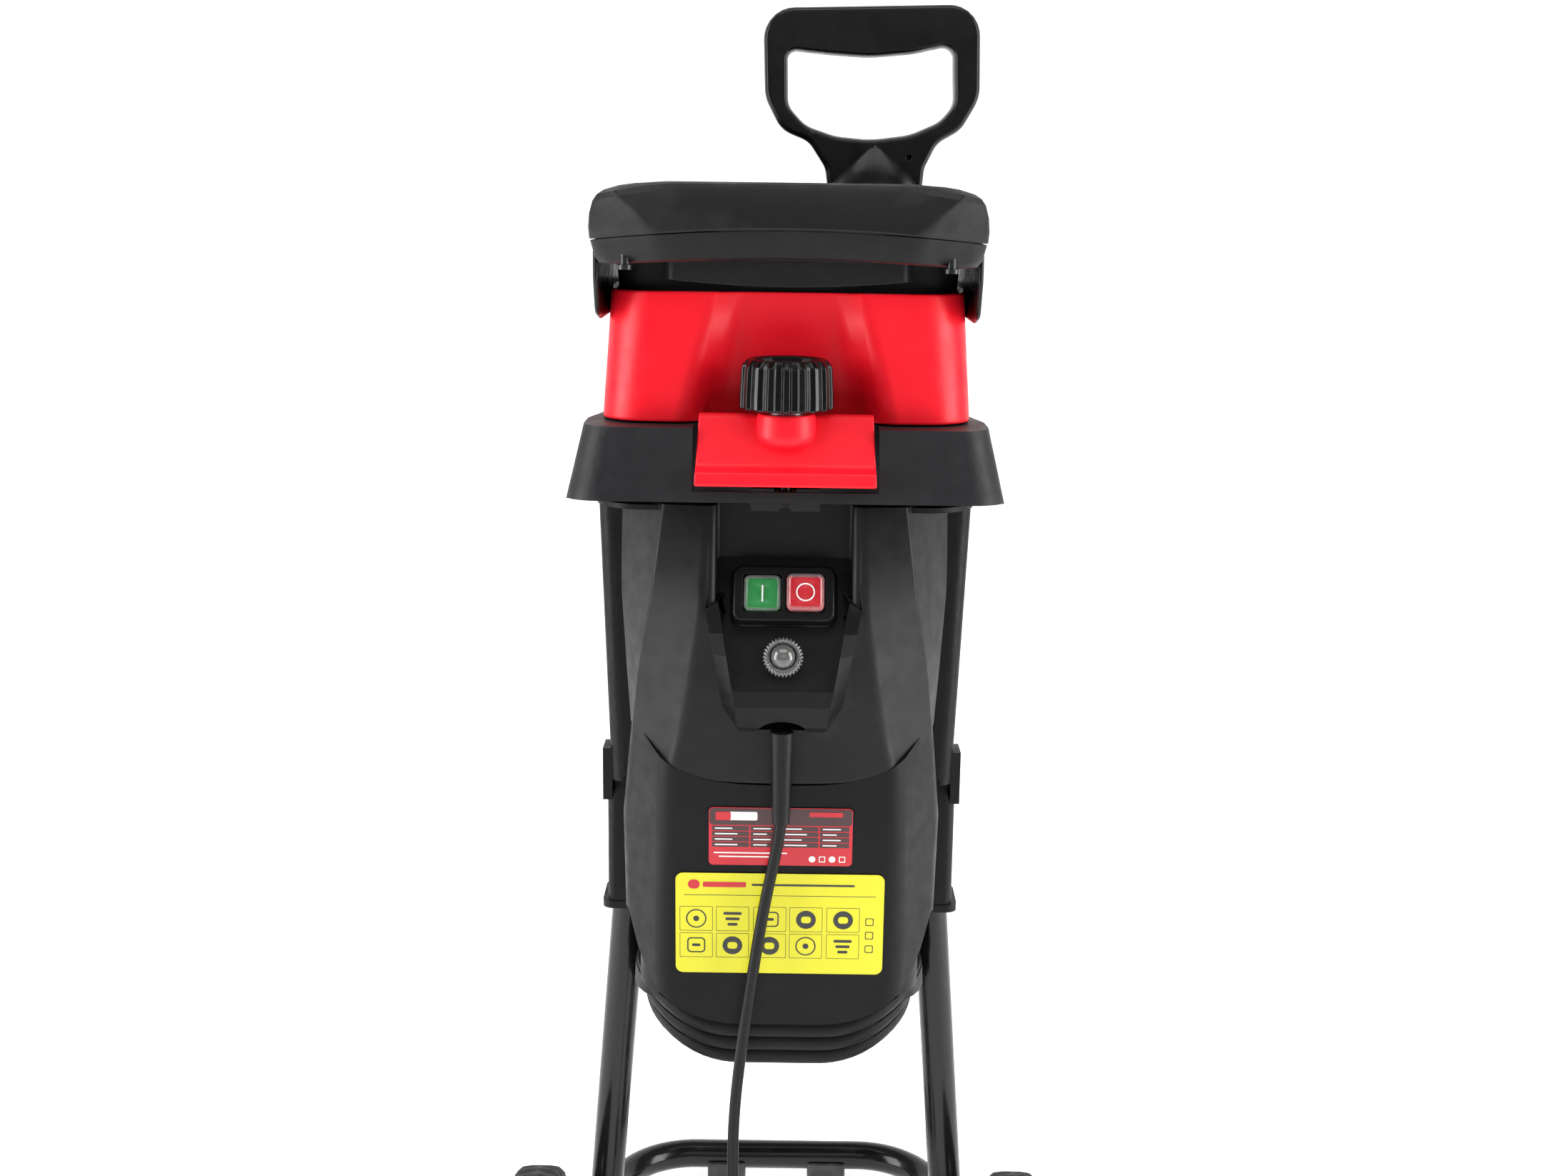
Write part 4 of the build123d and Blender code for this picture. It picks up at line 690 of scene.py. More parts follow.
def build_funnel():
    """Black funnel: neck under the rim, sloping mouth and square throat, with a cheek on each side."""
    def box_ring(half_x, front, rear, height, radius, middle_x=0.0):
        corners = [(middle_x - half_x, front, radius), (middle_x + half_x, front, radius),
                   (middle_x + half_x, rear, radius), (middle_x - half_x, rear, radius)]
        return [(x, y, height) for x, y in rounded_loop(corners, 6)]

    inner = [box_ring(80.0, -90.0, 78.0, 744.0, 12), box_ring(78.5, -88.5, 76.5, 741.0, 12),
             box_ring(28.5, -58.5, -1.5, 661.0, 7, 47.0), box_ring(28.0, -58.0, -2.0, 658.0, 6, 47.0),
             box_ring(28.0, -58.0, -2.0, 635.0, 6, 47.0), box_ring(28.6, -58.6, -1.4, 634.0, 6, 47.0)]
    outer = [box_ring(30.4, -60.4, 0.4, 634.0, 8, 47.0), box_ring(31.0, -61.0, 1.0, 635.0, 9, 47.0),
             box_ring(31.0, -61.0, 1.0, 660.0, 9, 47.0), box_ring(80.0, -81.0, 80.0, 722.0, 14),
             box_ring(98.0, -87.0, 94.0, 718.0, 22), box_ring(99.5, -88.5, 95.5, 719.5, 23),
             box_ring(99.8, -88.8, 95.8, 728.0, 23), box_ring(101.0, -89.5, 92.0, 744.0, 24)]
    body = mesh_object("hopper_funnel_shell", *loft(inner + outer, torus=True))
    soften(body, 0.5, angle=25)
    fit(body, "hopper", "rim_black", RIM_BLACK, "hopper_funnel")

    front = [(-73.0, -88.0, 0), (-68.0, -97.0, 5), (68.0, -97.0, 5), (73.0, -88.0, 0)]
    line = rounded_loop(front, 6, closed=False)
    line = dense(line, line, 8.0)
    rings = []
    for share in (0.0, 0.04, 0.5, 1.0):
        ring = []
        for x, y in line:
            low = 729.0 + 3.5 * min(1.0, abs(x) / 70.0) ** 2
            bulge = 3.0 * (1.0 - min(1.0, abs(x) / 70.0) ** 2)
            ring.append((x, y - bulge, low + (745.0 - low) * share))
        rings.append(ring)
    neck = mesh_object("hopper_neck_wall", *loft(rings, closed=False, caps=(False, False)))
    thicken(neck, 2.6)
    apply_modifiers(neck)
    soften(neck, 0.6)
    fit(neck, "hopper", "rim_black", COLLAR_BLACK, "hopper_funnel")

    for side in (-1, 1):
        profile = [(-108.0, 750.0, 3), (-108.0, 733.0, 8), (-98.0, 712.0, 10), (-80.0, 708.5, 10), (50.0, 708.5, 12),
                   (66.0, 724.0, 12), (66.0, 750.0, 3)]
        line = rounded_loop(profile, 5)
        rings = [[(side * x, y, z) for y, z in line] for x in (107.8, 111.0)]
        cheek = mesh_object("hopper_cheek_" + ("left" if side < 0 else "right"), *loft(rings))
        soften(cheek, 1.6)
        fit(cheek, "hopper", "rim_black", GLOSS_BLACK, "hopper_funnel")


def rim_plan(half, front, rear, height, bow=0.0, sag=0.0, drop=0.0, cut=(17.0, 14.0), radius=12.0):
    """Closed outline of the hopper rim: chamfered front corners, bowed front, sides lower than the middle."""
    def outline(half, front, rear, cut, radius):
        corners = [(-half, rear, 34), (-half, front + cut[1], radius), (-half + cut[0], front, radius),
                   (half - cut[0], front, radius), (half, front + cut[1], radius), (half, rear, 34)]
        line = rounded_loop(corners, 8)
        return line + line[:1]

    line = dense(outline(half, front, rear, cut, radius), outline(111.0, -156.0, 92.0, (17.0, 14.0), 12.0), 8.0)[:-1]
    result = []
    for x, y in line:
        near = max(0.0, min(1.0, (-60.0 - y) / 60.0))
        centre = 1.0 - min(1.0, abs(x) / half) ** 2
        side = max(0.0, min(1.0, (abs(x) - 66.0) / 42.0)) ** 1.25
        result.append((x, y - bow * centre * near, height + sag * centre * near - drop * side))
    return result


def hole_plan(half, front, rear, height, radius):
    """Closed outline of an opening."""
    corners = [(-half, rear, radius), (-half, front, radius), (half, front, radius), (half, rear, radius)]
    return [(x, y, height) for x, y in rounded_loop(corners, 8)]


def build_rim():
    """Two-part hopper rim with a grip across the front; the joint between them is arched."""
    outer_top = [rim_plan(110.9, -155.5, 92.0, 755.4, 2.5, 7.0, cut=(38.0, 24.0), radius=20.0),
                 rim_plan(111.4, -156.0, 92.4, 756.4, 2.5, 7.0, cut=(38.0, 24.0), radius=20.0),
                 rim_plan(111.4, -156.0, 92.4, 763.0, 2.5, 5.0, 1.0, (34.0, 23.0), 14.0),
                 rim_plan(110.4, -154.0, 91.6, 772.0, 2.5, 2.5, 2.5, (26.0, 20.0), 8.0),
                 rim_plan(108.0, -151.6, 90.0, 782.0, 2.5, 1.0, 5.5, (15.0, 15.0), 5.0),
                 rim_plan(105.6, -149.0, 88.0, 785.6, 2.4, 0.7, 6.2, (10.0, 12.0), 5.0),
                 rim_plan(102.0, -144.6, 85.0, 787.0, 1.5, 0.4, 5.6, (8.0, 10.0), 6.0),
                 rim_plan(94.0, -136.0, 81.5, 787.4, 1.0, 0.0, 4.0, (8.0, 10.0), 6.0),
                 rim_plan(86.0, -131.0, 80.0, 787.0, 0.0, 0.0, 2.0, (8.0, 10.0), 6.0)]
    upper_hole = [hole_plan(83.0, -93.0, 81.0, 787.0, 14), hole_plan(81.4, -91.4, 79.4, 786.2, 13),
                  hole_plan(80.4, -90.4, 78.4, 783.0, 12), hole_plan(79.9, -89.9, 77.9, 757.0, 12)]
    build_ring("rim_upper_shell", outer_top, upper_hole, 756.0, "rim_upper")

    low_cut = ((38.0, 24.0), 20.0)
    outer_low = [rim_plan(110.9, -155.5, 92.0, 754.8, 2.5, 7.0, 0.0, *low_cut),
                 rim_plan(110.6, -155.2, 91.8, 753.8, 2.5, 7.0, 0.0, *low_cut),
                 rim_plan(108.8, -152.4, 91.0, 746.0, 2.0, 5.5, 0.0, *low_cut),
                 rim_plan(106.4, -149.4, 89.0, 742.2, 1.5, 5.0, 0.0, *low_cut),
                 rim_plan(103.4, -146.0, 86.0, 741.2, 1.0, 5.0, 0.0, *low_cut)]
    lower_hole = [hole_plan(83.5, -93.5, 81.5, 743.0, 14), hole_plan(80.6, -90.6, 78.6, 744.5, 13),
                  hole_plan(80.0, -90.0, 78.0, 755.0, 12)]
    build_ring("rim_lower_shell", outer_low, lower_hole, 755.0, "rim_lower")

    tongue = [rim_plan(half, front, rear, height, 2.5, 7.0, 0.0, *low_cut)
              for half, front, rear, height in ((108.4, -153.0, 89.5, 750.0), (108.4, -153.0, 89.5, 760.0),
                                                (105.4, -150.0, 86.5, 760.0), (105.4, -150.0, 86.5, 750.0))]
    band = mesh_object("rim_joint_tongue", *loft(tongue, torus=True))
    soften(band, 0)
    fit(band, "hopper", "rim_black", RIM_BLACK, "rim_lower")


def build_ring(name, outside, inside, seam_height, node):
    """Join an outer skin to the mouth and cut the hand slot behind the grip."""
    outer_verts, outer_faces = loft(outside, caps=(True, True))
    ring = mesh_object(name, outer_verts, outer_faces)
    top, bottom = max(p[2] for r in outside for p in r) + 5, min(p[2] for r in outside for p in r) - 5
    mouth = [hole_plan(80.0, -90.0, 78.0, bottom, 12), hole_plan(80.0, -90.0, 78.0, top, 12)]
    boolean(ring, mesh_object("cut", *loft(mouth)))
    slot = [hole_plan(69.0, -126.0, -101.0, bottom, 10), hole_plan(69.0, -126.0, -101.0, top, 10)]
    boolean(ring, mesh_object("cut", *loft(slot)))
    soften(ring, 0.9, angle=24)
    fit(ring, "hopper", "rim_black", RIM_BLACK, node)


def build_plunger():
    """D-handle with a bevelled section, a conical gusset and a tapered shaft."""
    outer = [(-23.6, 783.0, 2), (-25.8, 797.0, 14), (-36.0, 812.0, 14), (-52.5, 818.5, 18), (-62.2, 837.0, 22),
             (-63.8, 888.0, 18), (63.8, 891.6, 18), (65.2, 838.0, 24), (54.5, 819.5, 18), (40.5, 811.5, 16),
             (33.4, 797.0, 14), (32.2, 783.0, 2)]
    opening = [(-49.0, 864.4, 5), (-25.0, 862.0, 80), (0.0, 860.6, 80), (25.0, 863.0, 80), (48.7, 868.2, 6),
               (50.0, 834.0, 12), (42.0, 824.2, 20), (24.0, 816.4, 40), (1.0, 813.4, 60), (-20.0, 815.2, 40),
               (-38.0, 821.2, 20), (-48.4, 832.5, 12)]
    centre_y = -30.0
    rings = []
    for depth, shrink in ((-11.0, 3.2), (-10.4, 1.6), (-8.6, 0.5), (-6.0, 0.0), (6.0, 0.0), (8.6, 0.5), (10.4, 1.6),
                          (11.0, 3.2)):
        line = inset_outline(outer, shrink)
        rings.append([(47.0 + x, centre_y + depth, z) for x, z in rounded_loop(line, 7)])
    handle = mesh_object("plunger_handle", *loft(rings))
    rings = []
    for depth, grow in ((-16.0, 3.2), (-11.0, 3.2), (-10.0, 1.4), (-7.0, 0.3), (0.0, 0.0), (7.0, 0.3), (10.0, 1.4),
                        (11.0, 3.2), (16.0, 3.2)):
        line = inset_outline(opening, -grow)
        rings.append([(47.0 + x, centre_y + depth, z) for x, z in rounded_loop(line, 7)])
    boolean(handle, mesh_object("cut", *loft(rings)))
    drain = [[(47.0 + 23.8 + 1.6 * math.cos(a), y, 803.0 + 1.6 * math.sin(a)) for a in circle_angles(20)]
             for y in (-45.0, -34.0)]
    boolean(handle, mesh_object("cut", *loft(drain)))
    soften(handle, 0.6, angle=30)
    fit(handle, "plunger", "plunger_black", GLOSS_BLACK, "plunger")

    rings = []
    for height, radius in ((779.0, 27.0), (784.0, 26.8), (787.0, 25.8), (792.0, 22.6), (796.0, 19.0), (800.0, 14.6),
                           (804.0, 9.6), (807.5, 5.0), (810.5, 1.2)):
        rings.append([(50.6 + radius * math.cos(a),
                       centre_y + math.copysign(10.2, math.sin(a)) + 0.45 * radius * math.sin(a), height)
                      for a in circle_angles(56)])
    gusset = mesh_object("plunger_gusset", *loft(rings))
    soften(gusset, 0.3, angle=60)
    fit(gusset, "plunger", "plunger_black", GLOSS_BLACK, "plunger")

    rings = []
    for height, half_x, half_y, radius in ((785.0, 26.0, 24.0, 8), (760.0, 25.6, 23.8, 8), (672.0, 26.0, 25.0, 8),
                                           (669.0, 25.4, 24.4, 8), (668.0, 23.8, 22.8, 7)):
        corners = [(-half_x, -half_y, radius), (half_x, -half_y, radius), (half_x, half_y, radius),
                   (-half_x, half_y, radius)]
        rings.append([(47.0 + x, centre_y + y, height) for x, y in rounded_loop(corners, 6)])
    shaft = mesh_object("plunger_shaft", *loft(rings))
    for side in (-1, 1):
        for offset in (-12.0, 0.0, 12.0):
            rib = block("cut", (47.0 + side * 25.2 - 1.6, centre_y + offset - 3.5, 690.0),
                        (47.0 + side * 25.2 + 1.6, centre_y + offset + 3.5, 775.0))
            boolean(shaft, rib)
    soften(shaft, 0.8)
    fit(shaft, "plunger", "plunger_black", GLOSS_BLACK, "plunger")


def inset_outline(corners, distance):
    """Move every edge of an outline of (x, y, radius) corners inwards by a distance."""
    result = []
    total = len(corners)
    area = sum(corners[i][0] * corners[(i + 1) % total][1] - corners[(i + 1) % total][0] * corners[i][1]
               for i in range(total))
    turn = 1.0 if area > 0 else -1.0
    for index, (x, y, radius) in enumerate(corners):
        before, after = Vector(corners[index - 1][:2]), Vector(corners[(index + 1) % total][:2])
        here = Vector((x, y))
        first, second = (here - before).normalized(), (after - here).normalized()
        normal_a, normal_b = Vector((-first.y, first.x)) * turn, Vector((-second.y, second.x)) * turn
        mitre = (normal_a + normal_b).normalized()
        reach = distance / max(0.35, mitre.dot(normal_a))
        moved = here + mitre * reach
        result.append((moved.x, moved.y, max(0.5, radius - distance)))
    return result


build_red_housing()
build_funnel()
build_rim()
build_plunger()

# ------------------------------------------------------------------ controls
PANEL_TILT = math.radians(28.0)
PANEL_ORIGIN = Vector((0.0, -112.0, 550.0))
PANEL_X = Vector((1.0, 0.0, 0.0))
PANEL_UP = Vector((0.0, math.sin(PANEL_TILT), math.cos(PANEL_TILT)))
PANEL_OUT = Vector((0.0, -math.cos(PANEL_TILT), math.sin(PANEL_TILT)))


def on_panel(points, rise):
    """Place flat outline points on the switch panel, raised by some amount."""
    return [tuple(PANEL_ORIGIN + PANEL_X * x + PANEL_UP * y + PANEL_OUT * rise) for x, y in points]


def pad(width, height, radius, middle=(0.0, 0.0), segments=6):
    """Rounded rectangle outline about a point."""
    x, y = middle
    return rounded_loop([(x - width / 2, y - height / 2, radius), (x + width / 2, y - height / 2, radius),
                         (x + width / 2, y + height / 2, radius), (x - width / 2, y + height / 2, radius)], segments)


def disc(radius, middle=(0.0, 0.0), count=32):
    """Circle outline about a point."""
    return [(middle[0] + radius * math.cos(a), middle[1] + radius * math.sin(a)) for a in circle_angles(count)]


KEY_ROOM = 3.2              # depth left free under each key for its 3 mm stroke


def build_switch():
    """Machine switch: rounded bezel with a divider, two domed keys with clear frames, and their marks."""
    steps = ((-1.0, 0.0), (7.6, 0.0), (9.2, 0.5), (10.0, 1.6))
    rings = [on_panel(pad(60.0 - 2 * inset, 34.0 - 2 * inset, 6.0 - inset), rise) for rise, inset in steps]
    bezel = mesh_object("switch_bezel", *loft(rings))
    skirt_rings = [on_panel(pad(62.5, 36.5, 7.0), rise) for rise in (-1.0, 1.6)]
    skirt_rings.append(on_panel(pad(61.0, 35.0, 6.5), 2.6))
    skirt = mesh_object("switch_skirt", *loft(skirt_rings))
    for x in (-12.5, 12.5):
        for piece in (bezel, skirt):
            well = [on_panel(pad(22.8, 22.8, 2.5, (x, 0.0)), rise) for rise in (-5.0, 20.0)]
            boolean(piece, mesh_object("cut", *loft(well)))
    for piece in (bezel, skirt):
        soften(piece, 0.5)
        fit(piece, "chassis", "housing_black", SWITCH_BLACK, "switch_body")

    tunnel = [on_panel(pad(49.5, 25.5, 2.0), rise) for rise in (-20.0, -KEY_ROOM)]
    body = mesh_object("switch_module", *loft(tunnel))
    soften(body, 0.5)
    fit(body, "chassis", "housing_black", SWITCH_BLACK, "switch_body")

    for x, name, look, slot, height in ((-12.5, "start_button", GREEN_KEY, "green_button", 8.6),
                                        (12.5, "stop_button", RED_KEY, "red_button", 12.6)):
        profile = ((0.6, 0.0), (height - 1.4, 0.15), (height - 0.5, 0.6), (height, 1.8), (height - 0.5, 5.5),
                   (height - 0.7, 9.0))
        rings = [on_panel(pad(20.6 - 2 * inset, 20.6 - 2 * inset, max(0.8, 2.6 - inset), (x, 0.0)), rise)
                 for rise, inset in profile]
        key = mesh_object(name + "_key", *loft(rings))
        soften(key, 0.25)
        fit(key, name, slot, look, name)

        lens_steps = ((height - 3.4, -0.55), (height + 0.4, -0.5), (height + 1.1, 0.1), (height + 1.1, 1.2),
                      (height + 0.2, 1.7), (height - 3.4, 1.2))
        rings = [on_panel(pad(20.8 - 2 * inset, 20.8 - 2 * inset, 3.0 - min(inset, 1.0), (x, 0.0)), rise)
                 for rise, inset in lens_steps]
        guard = mesh_object(name + "_clear_frame", *loft(rings, torus=True))
        soften(guard, 0.2)
        fit(guard, name, "clear_plastic", CLEAR, name)

    bar = [on_panel(pad(0.9, 10.0, 0.4, (-12.5, 0.0)), rise) for rise in (7.4, 8.75)]
    mark = mesh_object("start_mark", *loft(bar))
    soften(mark, 0.1)
    fit(mark, "start_button", None, PRINT_WHITE, "start_button")
    circle = [on_panel(disc(5.5, (12.5, 0.0)), 11.2), on_panel(disc(5.5, (12.5, 0.0)), 12.6),
              on_panel(disc(4.75, (12.5, 0.0)), 12.6), on_panel(disc(4.75, (12.5, 0.0)), 11.2)]
    mark = mesh_object("stop_mark", *loft(circle, torus=True))
    soften(mark, 0.1)
    fit(mark, "stop_button", None, PRINT_WHITE, "stop_button")


def build_breaker():
    """Clear knurled nut with a soft dome over the reset button."""
    middle = (0.0, -37.0)

    def knurled(radius, rise, depth):
        points = []
        for step in range(192):
            angle = 2 * math.pi * step / 192
            local = radius - depth * (0.5 - 0.5 * math.cos(angle * 32))
            points.append((middle[0] + local * math.cos(angle), middle[1] + local * math.sin(angle)))
        return on_panel(points, rise)

    rings = [knurled(12.0, 0.1, 1.2), knurled(12.0, 4.4, 1.2), knurled(11.2, 5.4, 0.9), knurled(9.0, 6.2, 0.0),
             knurled(7.6, 5.8, 0.0), knurled(7.5, 0.1, 0.0)]
    nut = mesh_object("breaker_nut", *loft(rings, torus=True))
    soften(nut, 0, angle=60)
    fit(nut, "chassis", "clear_plastic", CLEAR_WITH_PAINTED_SHADE, "breaker_ring")

    rings = []
    for height, radius in ((0.2, 7.3), (5.0, 7.2), (7.6, 6.7), (9.4, 5.6), (10.7, 3.9), (11.3, 2.0), (11.45, 0.3)):
        rings.append(on_panel(disc(radius, middle, 48), height))
    dome = mesh_object("breaker_dome", *loft(rings, caps=(False, True)))
    thicken(dome, 0.7)
    apply_modifiers(dome)
    soften(dome, 0, angle=60)
    fit(dome, "chassis", "clear_plastic", CLEAR_WITH_PAINTED_SHADE, "breaker_ring")

    rings = [on_panel(disc(4.5, middle), -3.0), on_panel(disc(4.5, middle), 4.2), on_panel(disc(3.9, middle), 4.9),
             on_panel(disc(2.2, middle), 5.0), on_panel(disc(1.8, middle), 4.4)]
    key = mesh_object("reset_key", *loft(rings))
    soften(key, 0.15)
    fit(key, "reset_button", "reset_black", KNOB_BLACK, "reset_button")


def build_knob():
    """Fluted lock knob with a chamfered crown, on a round red boss."""
    centre = (0.0, -118.0)

    def fluted(radius, height, depth):
        ring = []
        for step in range(216):
            angle = 2 * math.pi * step / 216
            wave = max(0.0, min(1.0, 0.5 + 1.15 * math.cos(angle * 18)))
            local = radius - depth * wave
            ring.append((centre[0] + local * math.cos(angle), centre[1] + local * math.sin(angle), height))
        return ring

    rings = [fluted(9.0, 662.4, 0), fluted(12.0, 661.0, 0), fluted(23.0, 661.0, 0.6), fluted(26.0, 661.5, 1.5),
             fluted(27.0, 662.6, 1.7), fluted(26.9, 670.0, 1.7), fluted(26.1, 685.0, 1.7), fluted(25.6, 686.4, 1.5),
             fluted(22.6, 689.7, 0.3), fluted(21.5, 690.0, 0.0), fluted(19.6, 689.2, 0.0), fluted(18.6, 686.4, 0.0),
             fluted(7.0, 685.8, 0.0), fluted(6.2, 686.8, 0.0), fluted(1.0, 687.0, 0.0)]
    knob = mesh_object("lock_knob_grip", *loft(rings))
    soften(knob, 0.35, angle=22, segments=2)
    fit(knob, "lock_knob", "knob_black", KNOB_BLACK, "knob")


def build_latch_plate():
    """Red latch plate over the collar, with a rounded lip and the boss under the knob."""
    profile = [(-112.6, 650.0, 1), (-112.6, 658.4, 2), (-119.8, 658.0, 4), (-134.2, 630.2, 6), (-140.8, 627.2, 2),
               (-142.0, 619.6, 1.5), (-132.4, 619.4, 1), (-131.0, 622.0, 3), (-117.6, 648.0, 3)]
    line = rounded_loop(profile, 5)
    rings = []
    for x in (-49.8, 49.8):
        rings.append([(x * (1.0 + 0.035 * (658.4 - z) / 39.0), y, z) for y, z in line])
    plate = mesh_object("latch_plate_skin", *loft(rings))
    soften(plate, 1.1)
    fit(plate, "hopper", "red_shell", LATCH_RED, "latch_plate")

    rings = []
    for height, radius, push in ((659.0, 15.6, 0.0), (657.8, 16.6, 0.0), (648.0, 17.8, 0.0), (643.0, 17.2, 0.2),
                                 (639.5, 14.5, 1.6), (637.6, 9.5, 3.6), (637.0, 4.0, 5.0)):
        rings.append([(radius * math.cos(a), -118.4 + push + radius * 1.0 * math.sin(a), height)
                      for a in circle_angles(48)])
    boss = mesh_object("latch_boss", *loft(rings))
    boolean(boss, mesh_object("cut", *loft([[(4.3 * math.cos(a), -118.0 + 4.3 * math.sin(a), z)
                                            for a in circle_angles(32)] for z in (630.0, 665.0)])))
    soften(boss, 0.3, angle=50)
    fit(boss, "hopper", "red_shell", LATCH_RED, "latch_plate")


# ------------------------------------------------------------------ labels
LABEL_TILT = math.atan2(8.0, 120.0)


def on_label(points, centre_z, rise):
    """Place flat outline points on the sloping nose of the lower cover."""
    base_y = -112.5 - (centre_z - 330.0) / 75.0 * 5.5
    result = []
    for x, up in points:
        height = centre_z + up
        y = -112.5 - (height - 330.0) / 75.0 * 5.5
        if height > 405.0:
            y = -118.0 - (height - 405.0) / 35.0 * 2.5
        result.append((x, y - 0.35 - rise, height))
    return result


def film(name, outline, centre_z, rise, thickness, look, slot, node):
    """Thin printed patch on the cover."""
    rings = [on_label(outline, centre_z, rise), on_label(outline, centre_z, rise + thickness)]
    patch = mesh_object(name, *loft(rings))
    soften(patch, 0)
    return fit(patch, "chassis", slot, look, node)


def ring_film(name, outer, inner, centre_z, rise, thickness, look, slot, node):
    """Printed outline: a frame between two closed curves."""
    rings = [on_label(outer, centre_z, rise), on_label(outer, centre_z, rise + thickness),
             on_label(inner, centre_z, rise + thickness), on_label(inner, centre_z, rise)]
    patch = mesh_object(name, *loft(rings, torus=True))
    soften(patch, 0)
    return fit(patch, "chassis", slot, look, node)


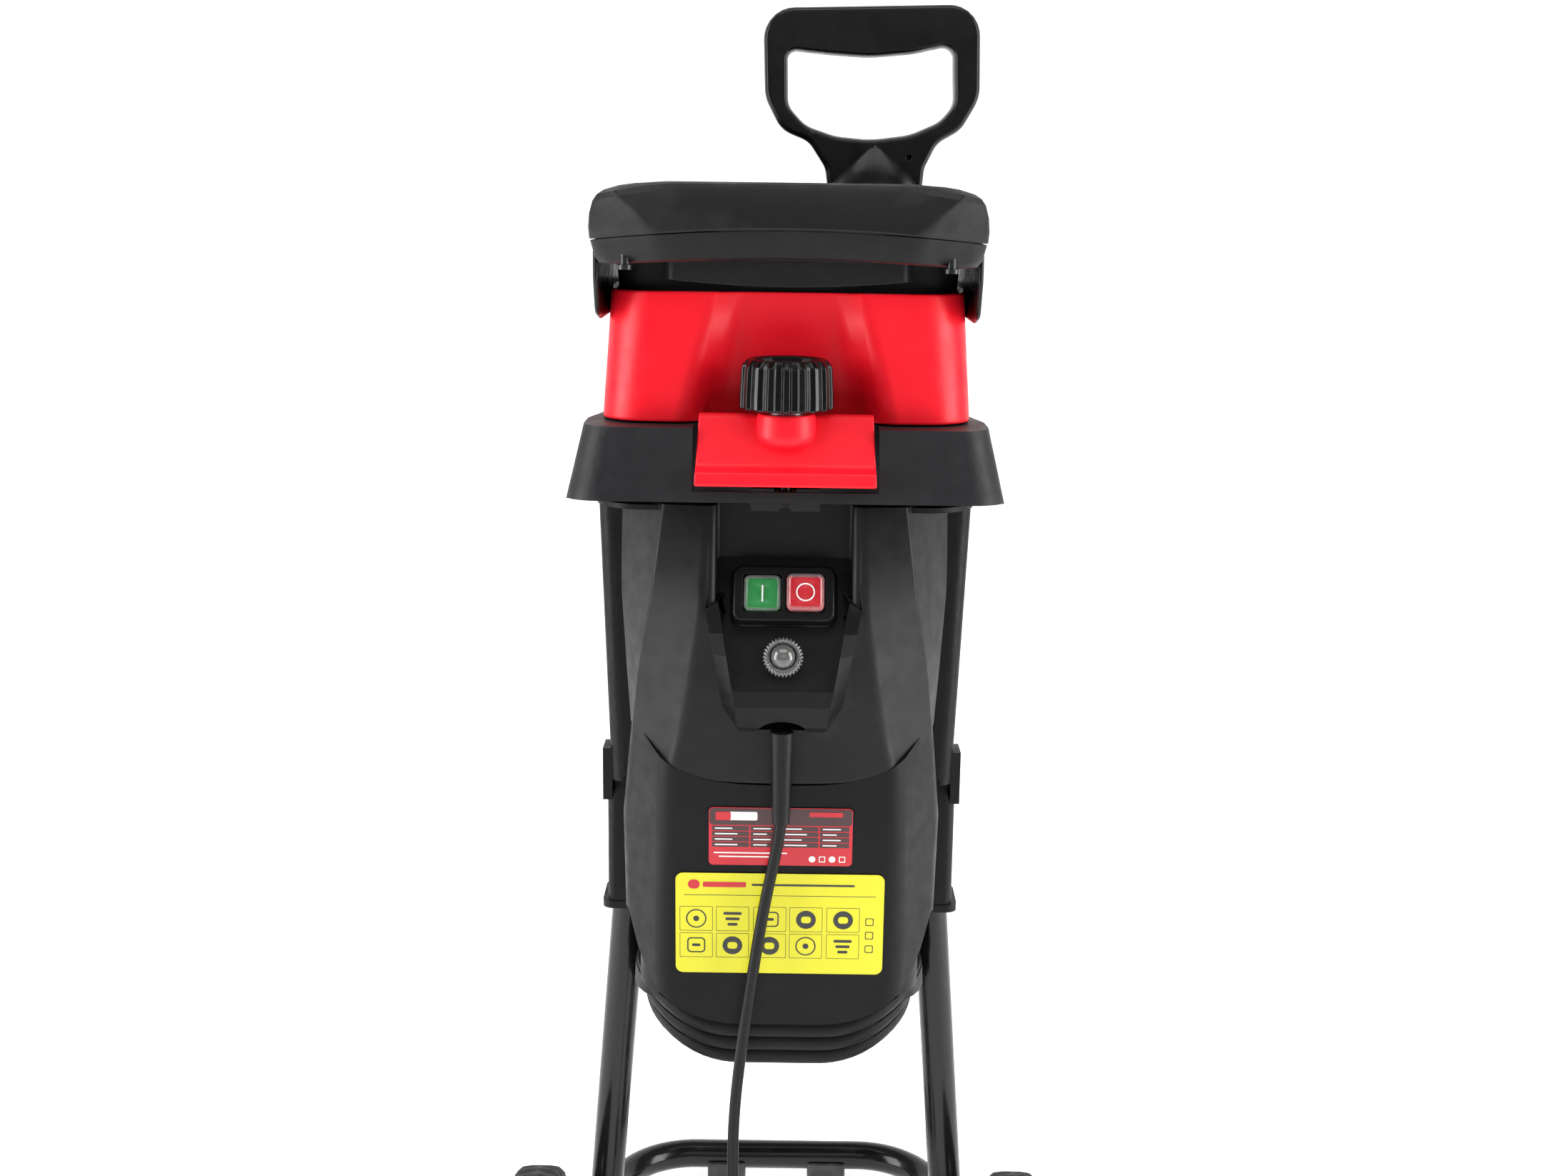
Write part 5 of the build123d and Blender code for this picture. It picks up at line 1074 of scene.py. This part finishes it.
def build_labels():
    """Rating plate with a plain data table, and a yellow notice with abstract marks."""
    node, slot = "rating_label", "rating_label"
    middle = 405.0
    film("rating_base", pad(86.0, 37.0, 2.6), middle, 0.0, 0.55, FILM_RED, slot, node)
    film("rating_band", pad(85.0, 10.5, 2.2, (0.0, 12.7)), middle, 0.5, 0.25, FILM_DARK, slot, node)
    film("rating_flash", pad(24.0, 5.4, 1.0, (-26.0, 13.2)), middle, 0.7, 0.2, PRINT_WHITE, slot, node)
    film("rating_chip", pad(9.0, 5.4, 1.0, (-34.4, 13.2)), middle, 0.8, 0.25, FILM_RED, slot, node)
    film("rating_stripe", pad(20.0, 3.0, 0.6, (27.0, 14.6)), middle, 0.7, 0.2, FILM_RED, slot, node)
    for row in range(4):
        for column, (left, width) in enumerate(((-41.0, 22.0), (-18.0, 17.0), (0.5, 22.0), (23.5, 17.5))):
            centre = (left + width / 2, 5.2 - 3.5 * row)
            film(f"rating_cell_{row}_{column}", pad(width, 2.9, 0.3, centre), middle, 0.5, 0.12, FILM_DARK, slot, node)
            length = width * (0.62 if (row + column) % 2 else 0.48)
            film(f"rating_entry_{row}_{column}", pad(length, 0.75, 0.3, (left + 1.6 + length / 2, centre[1])), middle,
                 0.6, 0.12, PRINT_WHITE, slot, node)
    for index, (x, width) in enumerate(((-18.0, 44.0), (-20.0, 34.0))):
        film(f"rating_foot_{index}", pad(width, 0.8, 0.3, (x, -10.6 - 2.4 * index)), middle, 0.5, 0.15, PRINT_WHITE,
             slot, node)
    for index in range(4):
        centre = (19.0 + 6.0 * index, -14.2)
        if index % 2:
            ring_film(f"rating_mark_{index}", pad(3.8, 3.8, 0.4, centre), pad(2.8, 2.8, 0.3, centre), middle, 0.5,
                      0.15, PRINT_WHITE, slot, node)
        else:
            film(f"rating_mark_{index}", disc(2.0, centre, 20), middle, 0.5, 0.15, PRINT_WHITE, slot, node)

    node, slot = "notice_label", "notice_label"
    middle = 348.0
    film("notice_base", pad(126.0, 66.0, 4.5), middle, 0.0, 0.6, FILM_YELLOW, slot, node)
    film("notice_flash", pad(7.0, 6.0, 2.9, (-52.0, 25.6)), middle, 0.55, 0.15, FILM_RED, slot, node)
    film("notice_heading", pad(26.0, 3.4, 0.8, (-33.5, 25.6)), middle, 0.55, 0.15, FILM_RED, slot, node)
    film("notice_line", pad(62.0, 1.3, 0.4, (14.0, 25.6)), middle, 0.55, 0.15, PRINT_BLACK, slot, node)
    film("notice_rule", pad(116.0, 0.35, 0.1, (0.0, 18.6)), middle, 0.55, 0.12, PRINT_BLACK, slot, node)
    columns = (-50.5, -28.5, -6.0, 16.0, 38.5)
    for column, x in enumerate(columns):
        for row, z in enumerate((3.0, -14.6)):
            ring_film(f"notice_box_{column}_{row}", pad(20.0, 16.2, 0.6, (x, z)), pad(19.5, 15.7, 0.5, (x, z)), middle,
                      0.55, 0.12, PRINT_BLACK, slot, node)
            name = f"notice_mark_{column}_{row}"
            kind = (column + 2 * row) % 5
            if kind == 0:
                ring_film(name, disc(6.2, (x, z), 36), disc(5.4, (x, z), 36), middle, 0.55, 0.12, PRINT_BLACK, slot,
                          node)
                film(name + "_core", disc(1.8, (x, z), 24), middle, 0.55, 0.12, PRINT_BLACK, slot, node)
            elif kind == 1:
                for bar in range(3):
                    film(f"{name}_{bar}", pad(11.0 - 2.5 * bar, 1.8, 0.6, (x, z + 3.6 - 3.6 * bar)), middle, 0.55,
                         0.12, PRINT_BLACK, slot, node)
            elif kind == 2:
                ring_film(name, pad(11.0, 10.0, 2.4, (x, z)), pad(9.4, 8.4, 1.7, (x, z)), middle, 0.55, 0.12,
                          PRINT_BLACK, slot, node)
                film(name + "_core", pad(5.0, 1.8, 0.6, (x, z)), middle, 0.55, 0.12, PRINT_BLACK, slot, node)
            else:
                film(name, disc(6.0, (x, z), 36), middle, 0.55, 0.12, PRINT_BLACK, slot, node)
                film(name + "_core", pad(6.0, 4.4, 1.8, (x, z)), middle, 0.65, 0.12, FILM_YELLOW, slot, node)
    for index in range(3):
        centre = (54.5, 2.0 - 9.0 * index)
        ring_film(f"notice_side_{index}", pad(5.0, 5.0, 0.8, centre), pad(4.0, 4.0, 0.6, centre), middle, 0.55, 0.12,
                  PRINT_BLACK, slot, node)


# ------------------------------------------------------------------ running gear
def build_tyres():
    """Solid rubber tyres with shallow tread blocks."""
    for side, name in ((-1, "left"), (1, "right")):
        centre = Vector((side * 157.0, -75.0, 78.0))
        profile = [(-13.0, 60.0), (-15.4, 62.5), (-16.0, 67.0), (-14.6, 71.6), (-11.5, 74.2), (-6.0, 75.0), (0.0, 75.0),
                   (6.0, 75.0), (11.5, 74.2), (14.6, 71.6), (16.0, 67.0), (15.4, 62.5), (13.0, 60.0)]
        rings = []
        steps = 168
        for step in range(steps):
            angle = 2 * math.pi * step / steps
            ring = []
            for across, radius in profile:
                groove = (step % 4 in (0, 1)) and radius > 71.0 and abs(across) > 3.0
                offset = 0.16 * abs(across)
                local = radius - (1.6 if groove else 0.0)
                ring.append((centre.x + across, centre.y + local * math.cos(angle + math.radians(offset)),
                             centre.z + local * math.sin(angle + math.radians(offset))))
            rings.append(ring)
        tyre = mesh_object("tyre_tread_" + name, *loft(rings, torus=True))
        soften(tyre, 0, angle=60)
        fit(tyre, "wheel_" + name, "tyre", TYRE_RUBBER, "tyre_" + name)


build_switch()
build_breaker()
build_knob()
build_latch_plate()
build_labels()
build_tyres()

build_stage()
build_lights()
build_camera()
bpy.context.scene.view_settings.view_transform = "Standard"
